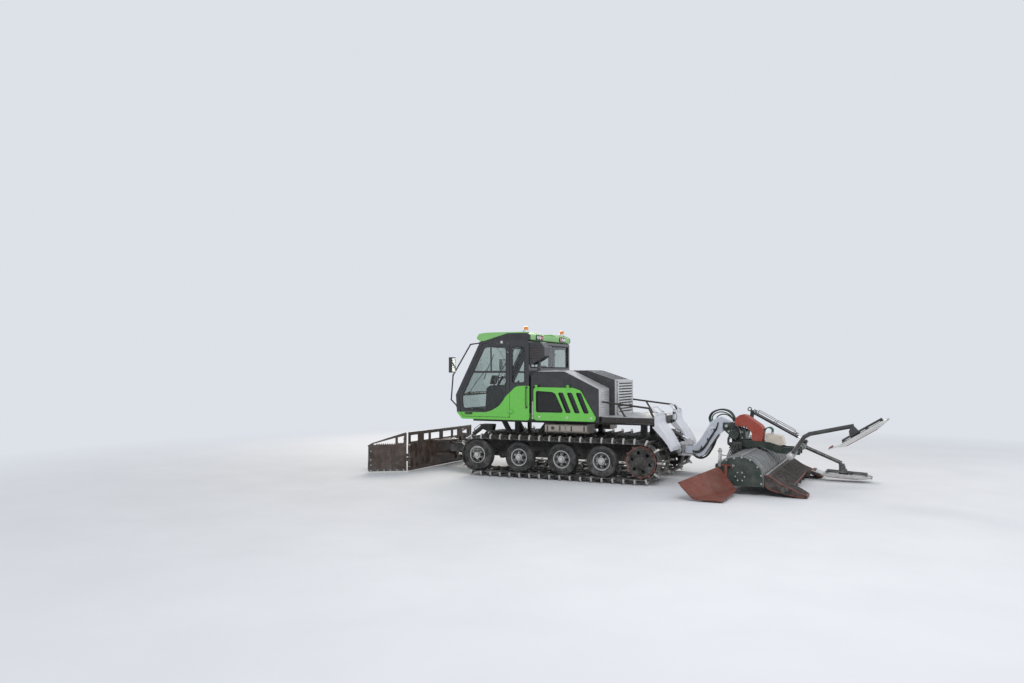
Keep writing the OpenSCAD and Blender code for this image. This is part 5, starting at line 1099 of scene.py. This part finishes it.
# Blade and push frame
WING_X, WING_Y, WING_TURN, BLADE_X, SWIVEL = 2.975, 1.29, 37, 3.0, 2.7
for side, tag in SIDES:
    where = {"body": "wing_" + tag + "_body", "side": side,
             "move": Matrix.Translation((WING_X, WING_Y, 0)) @ tilted(math.radians(WING_TURN), "Z")}
    plate, iron, nuts = (Part("wing_" + name + tag, look, **where) for name, look in (
        ("teeth_", "blade"), ("edges_", "black"), ("bolts_", "steel")))
    plate.teeth((0.291, 0, 0.54), (0.042, 0, 0), 9, (0.04, 0, 0), (0, 0, 0.03), (0, 0.018, 0))
    plate.teeth((0.115, 0, 0.56), (0.03, 0, 0), 4, (0.028, 0, 0), (0, 0, 0.022), (0, 0.018, 0))
    plate.teeth((0.1, 0, 0.575), (0, 0, 0.03), 4, (0, 0, 0.028), (0.022, 0, 0), (0, 0.018, 0))
    for x in (0.075, 0.33, 0.56, 0.745):
        plate.hull((x - 0.009, 0.011, 0.07), (x + 0.009, 0.03, 0.515))
    plate.hull((0.08, 0.011, 0.3), (0.74, 0.024, 0.316))
    iron.hull((0.055, -0.024, 0.026), (0.782, -0.011, 0.108))
    iron.hull((0.055, 0.011, 0.026), (0.782, 0.019, 0.062))
    iron.hull((0.77, -0.018, 0.07), (0.794, 0.018, 0.49))
    iron.tube([(0.062, 0, 0.764), (0.72, 0, 0.563), (0.788, 0, 0.502)], 0.0135, 8, 2)
    nuts.bolts([(0.11 + k * 0.126, 0.019, 0.044) for k in range(6)]
               + [(0.745, 0.03, z) for z in (0.15, 0.25, 0.42)], OUT, 0.01)
    for z in (0.232, 0.302):
        nuts.turned([(0, 0.0275), (0.004, 0.0275), (0.004, 0.02), (0.052, 0.02), (0.052, 0.0275),
                     (0.056, 0.0275)], (0, 0, z), TOP, 24)
    nuts.turned([(0, 0.021), (0.006, 0.021), (0.012, 0.014), (0.012, 0)], (0, 0, 0.53), TOP, 20)
    close(plate, iron, nuts)

# Blade: ribs behind it, teeth in its windows, wear edge and top bar
RIB = ((-0.062, 0.11), (-0.024, 0.085), (-0.024, 0.38), (0.0015, 0.522), (0.0015, 0.562), (-0.024, 0.54),
       (-0.062, 0.37))
ribs, iron, nuts = (Part("blade_" + name, look, "blade_body") for name, look in (
    ("ribs", "blade"), ("edges", "black"), ("bolts", "steel")))
for y in (0.56, 0.8, 1.02, 1.2):
    ribs.prism([(BLADE_X + x, z) for x, z in RIB], "y", y - 0.008, y + 0.008, 0.002)
for low, high, count in ((0.06, 0.43, 9), (0.49, 0.7, 5), (0.9, 1.19, 7)):
    step = (high - low) / count
    ribs.teeth((BLADE_X + 0.0125, low + step / 2, 0.56), (0, step, 0), count, (0, step * 0.96, 0),
               (0, 0, 0.026), (0.018, 0, 0))
iron.block((BLADE_X - 0.001, 1.2475, 0.305), (0.054, 0.012, 0.47))
for z, up in ((0.108, -1), (0.52, 1)):
    nuts.turned([(0, 0.028), (0.008, 0.028), (0.012, 0.02), (0.012, 0.013)], (WING_X, WING_Y, z),
                (0, 0, up), 24)
nuts.bolts([(BLADE_X + 0.0345, 0.085 + k * 0.155, 0.066) for k in range(8)], FRONT)
for part in (ribs, iron, nuts):
    part.mirror()
iron.hull((BLADE_X + 0.02, -1.246, 0.018), (BLADE_X + 0.034, 1.246, 0.1))
iron.rod((BLADE_X + 0.0125, -1.248, 0.763), (BLADE_X + 0.0125, 1.248, 0.763), 0.0145, 12)
iron.hull((BLADE_X + 0.064, -1.24, 0.201), (BLADE_X + 0.076, 1.24, 0.229))
nuts.turned([(0, 0.05), (0.012, 0.05), (0.018, 0.04), (0.018, 0.02), (0.032, 0.02), (0.036, 0.014),
             (0.036, 0)], (SWIVEL, 0, 0.56), TOP, 32)
nuts.bolts([(SWIVEL + 0.24, -0.27 + k * 0.18, 0.56) for k in range(4)], TOP, 0.013, 0.011)
push, pads, line = (Part("push_" + name, look, "push_body") for name, look in (
    ("caps", "steel"), ("plates", "black"), ("hoses", "hose")))
push.turned([(0, 0.046), (0.008, 0.046), (0.012, 0.038), (0.012, 0.03)], (1.93, 0.2555, 0.45))
push.bolts([(x, 0.263, 0.474 + (x - 2.23) * 0.11) for x in (2.15, 2.31)])
pads.block((2.23, 0.258, 0.475), (0.2, 0.01, 0.09), 0.003, tilted(-0.11))
line.tube([(1.99, 0.268, 0.505), (2.12, 0.276, 0.53), (2.33, 0.276, 0.556), (2.5, 0.274, 0.535),
           (2.585, 0.262, 0.486)], 0.01)
for part in (push, pads, line):
    part.mirror()
push.turned([(0, 0.088), (0.008, 0.088), (0.012, 0.082), (0.012, 0.055)], (SWIVEL, 0, 0.51), TOP, 40)
close(ribs, iron, nuts, push, pads, line)

# Cab inside, in heights above its floor
FLOOR = 1.096
CABIN = Matrix.Translation((0, 0, FLOOR))


def cushion(name, middle, size, lean, crown, seams):
    """Stuffed pad: rounded block whose faces crown and whose sides pull in, with channels sewn across it."""
    part = Part(name, "seat", move=CABIN @ Matrix.Translation(middle) @ tilted(lean))
    half, r = Vector(size) / 2, min(size) * 0.4
    bmesh.ops.create_cube(part.bm, size=2)
    bmesh.ops.subdivide_edges(part.bm, edges=part.bm.edges[:], cuts=23, use_grid_fill=True)
    inner = half - Vector((r, r, r))
    for v in part.bm.verts:
        a, b, c = v.co
        p = Vector((a * half.x, b * half.y, c * half.z))
        q = Vector([max(-m, min(m, w)) for w, m in zip(p, inner)])
        d = p - q
        if d.length > 1e-9:
            p = q + d.normalized() * min(r, max(abs(w) for w in d))
        swell = (1 - a ** 4) * (1 - b ** 4)
        p.z += (crown if c > 0 else crown * 0.25) * swell * max(-1, min(1, c * 1.5))
        p.x *= 1 - 0.035 * (1 - b * b) * abs(a)
        p.y *= 1 - 0.030 * (1 - a * a) * abs(b)
        if c > 0:
            for s in seams:
                p.z -= 0.010 * math.exp(-((a - s) / 0.045) ** 2) * (1 - b ** 6)
            p.z -= 0.008 * (math.exp(-((b - 0.62) / 0.035) ** 2) + math.exp(-((b + 0.62) / 0.035) ** 2))
        v.co = part.frame @ p
    obj = part.done()
    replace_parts(obj, "cab_interior")


BACK_LEAN = math.radians(-98)
cushion("seat_cushion", (1.04, 0, 0.352), (0.5, 0.48, 0.112), -0.03, 0.012, (-0.55, -0.18, 0.2, 0.58))
cushion("seat_back", (0.722, 0, 0.59), (0.455, 0.46, 0.098), BACK_LEAN, 0.012, (-0.6, -0.2, 0.2, 0.6))
cushion("seat_headrest", (0.676, 0, 0.915), (0.165, 0.29, 0.088), BACK_LEAN, 0.01, (0.0,))
seat = Part("seat_frame", "trim", slot="interior", move=CABIN)
seat.hull((0.84, -0.19, 0), (1.19, 0.19, 0.06), 0.01)
for k in range(5):
    fold, z = 0.006 * (k % 2), 0.075 + k * 0.042
    seat.hull((0.855 + fold, -0.18 + fold, z - 0.012), (1.175 - fold, 0.18 - fold, z + 0.026), 0.014)
seat.hull((0.8, -0.215, 0.276), (1.27, 0.215, 0.298), 0.008)
seat.hull((0.672, -0.2, 0.33), (0.7, 0.2, 0.8), 0.01, tilted(-0.13))
for y in (-0.06, 0.06):
    seat.rod((0.668, y, 0.77), (0.65, y, 0.88), 0.007, 10)
desk = Part("cab_console", "trim", slot="interior", move=CABIN)
desk.prism(soften([(1.505, 0.004), (1.795, 0.004), (1.757, 0.555), (1.642, 0.612)], 0.03),
           "y", -0.325, 0.325, 0.008)
desk.hull((0.905, -0.415, 0.004), (1.395, -0.275, 0.49), 0.018)
desk.hull((0.93, -0.405, 0.486), (1.3, -0.285, 0.518), 0.014)
desk.rod((1.69, 0, 0.56), (1.562, 0, 0.757), 0.024, 20)
desk.hull((1.535, -0.036, 0.735), (1.58, 0.036, 0.782), 0.008)
for k in range(3):
    desk.block((1.525, 0, 0.095 + k * 0.14), (0.01, 0.6, 0.01), 0.003, tilted(0.24))
grip = Part("cab_levers", "black", move=CABIN)
grip.rod((1.56, 0.085, 0.76), (1.56, 0.19, 0.76), 0.0178, 18, 0.4)
grip.mirror()
grip.rod((1.56, -0.188, 0.76), (1.56, 0.188, 0.76), 0.012, 14)
grip.tube([(1.33, -0.345, 0.515), (1.345, -0.345, 0.565), (1.35, -0.34, 0.61)], 0.009, 10, 3)
grip.turned([(0, 0.01), (0.01, 0.021), (0.05, 0.024), (0.085, 0.02), (0.098, 0.01), (0.1, 0)],
            (1.35, -0.34, 0.6), (0.15, 0, 1), 20)
for part in (seat, desk, grip):
    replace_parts(part.done(), "cab_interior")
keys, display = Part("cab_switches", "steel", move=CABIN), Part("cab_display", "screen", move=CABIN)
for i in range(4):
    for j in range(3):
        keys.block((0.99 + i * 0.062, -0.381 + j * 0.038, 0.5205), (0.03, 0.022, 0.009), 0.002)
display.hull((1.64, 0.06, 0.632), (1.652, 0.29, 0.79), 0.003, tilted(-0.3))
bezel = Part("cab_display_housing", "trim", slot="interior", move=CABIN)
bezel.hull((1.648, 0.045, 0.62), (1.676, 0.305, 0.802), 0.008, tilted(-0.3))
bezel.rod((1.668, 0.175, 0.56), (1.662, 0.175, 0.65), 0.014, 12)
mats = Part("cab_floor_mat", "tyre", move=CABIN)
mats.hull((0.6, -0.94, 0.001), (1.88, 0.94, 0.007), 0.002)
for x in (0.64 + k * 0.041 for k in range(30)):
    mats.hull((x, -0.92, 0.006), (x + 0.014, 0.92, 0.01), 0)
close(keys, display, bezel, mats)
